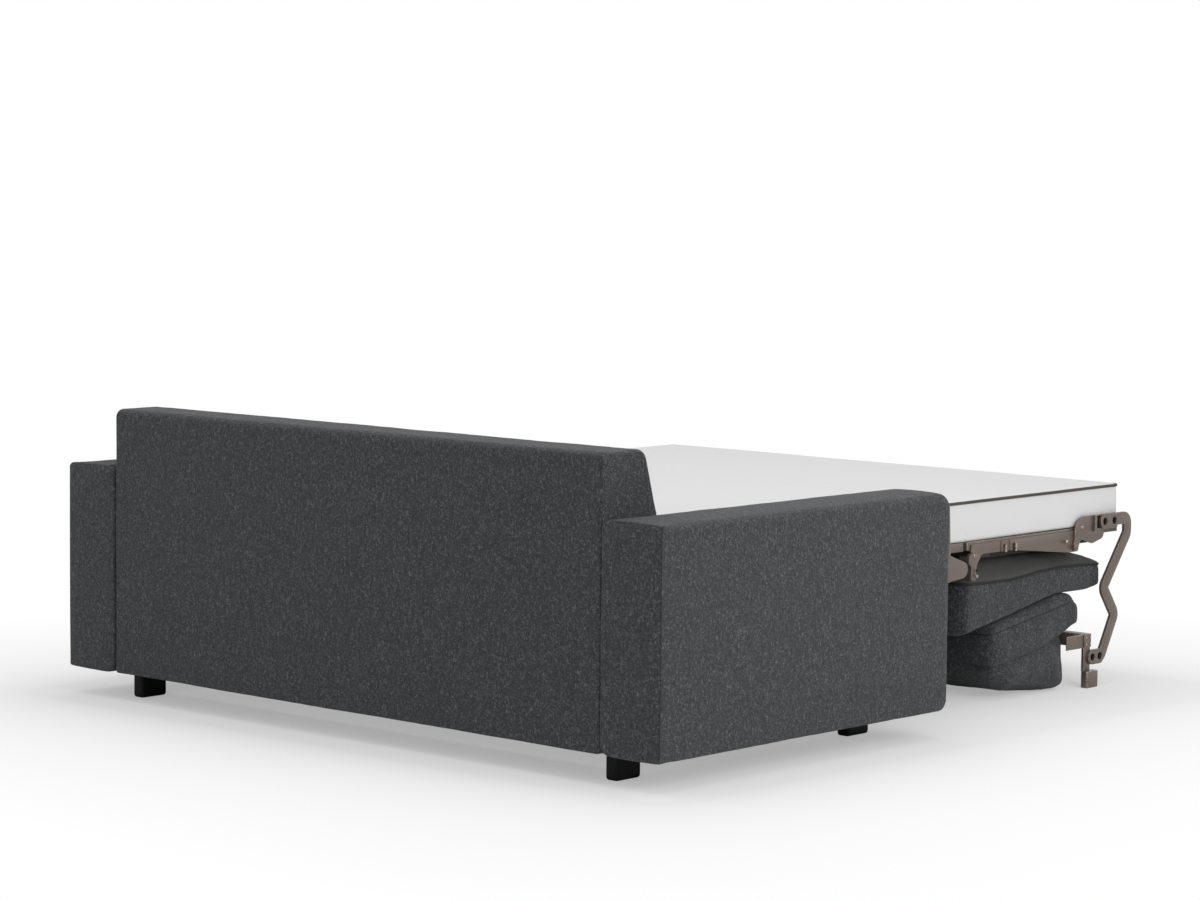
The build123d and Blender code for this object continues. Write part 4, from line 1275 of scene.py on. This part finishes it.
class SOFA_OT_fasteners(bpy.types.Operator):
    """Adds the wires of the bed, the rivet heads, the ribs and the legs' small plates"""

    bl_idname = "sofa.fasteners"
    bl_label = "Wires, rivets and ribs"

    def execute(self, context):
        for base in ("head", "middle", "foot"):
            bed_wires(context.scene.sofa_steel, base, f"{base}_section")
        # This also lays the black disc of painted shade in the lug's hole.
        for name, (radius, height, material, places) in RIVETS.items():
            spots = [(side * RIVET_FACE, REAR - reach, z) for side in SIDES.values() for reach, z in places]
            values = {"Radius": radius, "Height": height, "Material": finish(material)}
            grown(name, spots, [], rivet_tree, "foot_section", "painted_steel", values)
        for side_name, side in SIDES.items():
            # Each rib is a cord in the pale finish: painted highlight along the rib.
            for k, reach in enumerate(RIB_PLACES):
                line = [(side * RIB_FACE, REAR - reach, height) for height in RIB_HEIGHTS]
                name = f"rib_{side_name}_{k + 1}"
                cord(name, line, False, RIB_RADIUS, "rim", "foot_section", "painted_steel", 12)
            for part, layer in LEG_LAYERS.items():
                side_plate(f"leg_{part}_{side_name}", layer, side, "leg_frame")
        return {"FINISHED"}


class SOFA_OT_stage(bpy.types.Operator):
    """Sets the floor, the lights and the camera"""

    bl_idname = "sofa.stage"
    bl_label = "Stage"

    def execute(self, context):
        look = context.scene.sofa_stage
        make_floor(look)
        make_world(look)
        for name, (place, aim, size, power) in LIGHTS.items():
            add_light(name, place, aim, size, getattr(look, power))
        add_camera(look)
        context.scene.view_settings.view_transform = "Standard"
        return {"FINISHED"}


def make_floor(look):
    """A wide pale floor that fades to white away from the sofa, and is clear from below."""
    mesh = bpy.data.meshes.new("floor")
    corners = [(x * FLOOR_SPREAD, y * FLOOR_SPREAD, 0) for x, y in ((-1, -1), (1, -1), (1, 1), (-1, 1))]
    mesh.from_pydata(corners, [], [(0, 1, 2, 3)])
    material, tree = material_tree("pale_floor")
    x, y, _ = tree.axes()
    past_side = (x.size() - ARM_HIGH.x).larger(0.0)
    past_end = (y.size() - REAR).larger(0.0)
    away = (past_side * past_side + past_end * past_end) ** 0.5
    far = ((away - FADE_START) / FADE_LENGTH).larger(0.0).smaller(1.0) ** FADE_POWER
    seen = tree.node("ShaderNodeLightPath", out=0)
    matt = tree.node("ShaderNodeBsdfDiffuse", {0: (*look.floor, 1)})
    white = tree.node("ShaderNodeEmission", {0: WHITE, 1: 1.0})
    pale = (far * (1 - look.haze) + look.haze) * seen
    both = tree.node("ShaderNodeMixShader", {0: pale, 1: matt, 2: white})
    below = tree.node("ShaderNodeNewGeometry", out=6)
    clear = tree.node("ShaderNodeBsdfTransparent")
    shown = tree.node("ShaderNodeMixShader", {0: below, 1: both, 2: clear})
    tree.node("ShaderNodeOutputMaterial", {0: shown})
    mesh.materials.append(material)
    linked("floor", mesh)


def make_world(look):
    """Even light, with white where the camera or a reflection sees past the floor."""
    world = bpy.data.worlds.new("studio")
    bpy.context.scene.world = world
    world.use_nodes = True
    tree = Tree(world.node_tree)
    camera_ray, glossy_ray, transmission_ray = (tree.node("ShaderNodeLightPath", out=k) for k in (0, 3, 6))
    seen = camera_ray.larger(glossy_ray).larger(transmission_ray)
    even = tree.node("ShaderNodeBackground", {0: WHITE, 1: look.sky})
    white = tree.node("ShaderNodeBackground", {0: WHITE, 1: 1.0})
    both = tree.node("ShaderNodeMixShader", {0: seen, 1: even, 2: white})
    tree.node("ShaderNodeOutputWorld", {0: both})


def add_light(name, place, aim, size, power):
    """A rectangular soft light that points at a place."""
    data = bpy.data.lights.new(name, "AREA")
    data.shape, data.size, data.size_y, data.energy = "RECTANGLE", *size, power
    light = linked(name, data)
    light.location = place
    light.rotation_mode = "QUATERNION"
    light.rotation_quaternion = (Vector(aim) - Vector(place)).to_track_quat("-Z", "Y")


def add_camera(look):
    """The camera behind the sofa's near corner, as in the photograph."""
    yaw, pitch, roll = (math.radians(a) for a in CAMERA_TURNS)
    ahead = Vector((math.sin(yaw) * math.cos(pitch), math.cos(yaw) * math.cos(pitch), math.sin(pitch)))
    across = Vector((math.cos(yaw), -math.sin(yaw), 0))
    above = across.cross(ahead)
    right = across * math.cos(roll) + above * math.sin(roll)
    up = above * math.cos(roll) - across * math.sin(roll)
    turned = Matrix((right, up, -ahead)).transposed().to_4x4()
    data = bpy.data.cameras.new("camera")
    data.lens, data.sensor_width, data.clip_end = look.lens, SENSOR_WIDTH, CLIP_END
    data.shift_x, data.shift_y = CAMERA_SHIFT
    camera = linked("camera", data)
    camera.matrix_world = Matrix.Translation(CAMERA_PLACE) @ turned
    bpy.context.scene.camera = camera


class SOFA_PT_panel(bpy.types.Panel):
    """Sizes, colours and the steps that dress the sofa"""

    bl_label = "Sleeper Sofa"
    bl_idname = "SOFA_PT_panel"
    bl_space_type = "VIEW_3D"
    bl_region_type = "UI"
    bl_category = "Sleeper Sofa"

    def draw(self, context):
        for group_name, group, steps in GROUPS:
            box = self.layout.box()
            for prop in group.__annotations__:
                box.prop(getattr(context.scene, group_name), prop)
            for step in steps:
                box.operator(step.bl_idname)


GROUPS = (
    ("sofa_upholstery", UpholsterySettings, (SOFA_OT_upholstery, SOFA_OT_base)),
    ("sofa_mattress", MattressSettings, (SOFA_OT_mattress,)),
    ("sofa_cushions", CushionSettings, (SOFA_OT_cushions,)),
    ("sofa_steel", SteelSettings, (SOFA_OT_steel, SOFA_OT_fasteners)),
    ("sofa_stage", StageSettings, (SOFA_OT_stage,)),
)


def register():
    for name, group, steps in GROUPS:
        bpy.utils.register_class(group)
        setattr(bpy.types.Scene, name, bpy.props.PointerProperty(type=group))
        for step in steps:
            bpy.utils.register_class(step)
    bpy.utils.register_class(SOFA_PT_panel)


def unregister():
    bpy.utils.unregister_class(SOFA_PT_panel)
    for name, group, steps in reversed(GROUPS):
        for step in steps:
            bpy.utils.unregister_class(step)
        delattr(bpy.types.Scene, name)
        bpy.utils.unregister_class(group)


def main():
    """Runs every step in order."""
    register()
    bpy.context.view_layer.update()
    for _, _, steps in GROUPS:
        for step in steps:
            family, verb = step.bl_idname.split(".")
            getattr(getattr(bpy.ops, family), verb)()


if __name__ == "__main__":
    main()
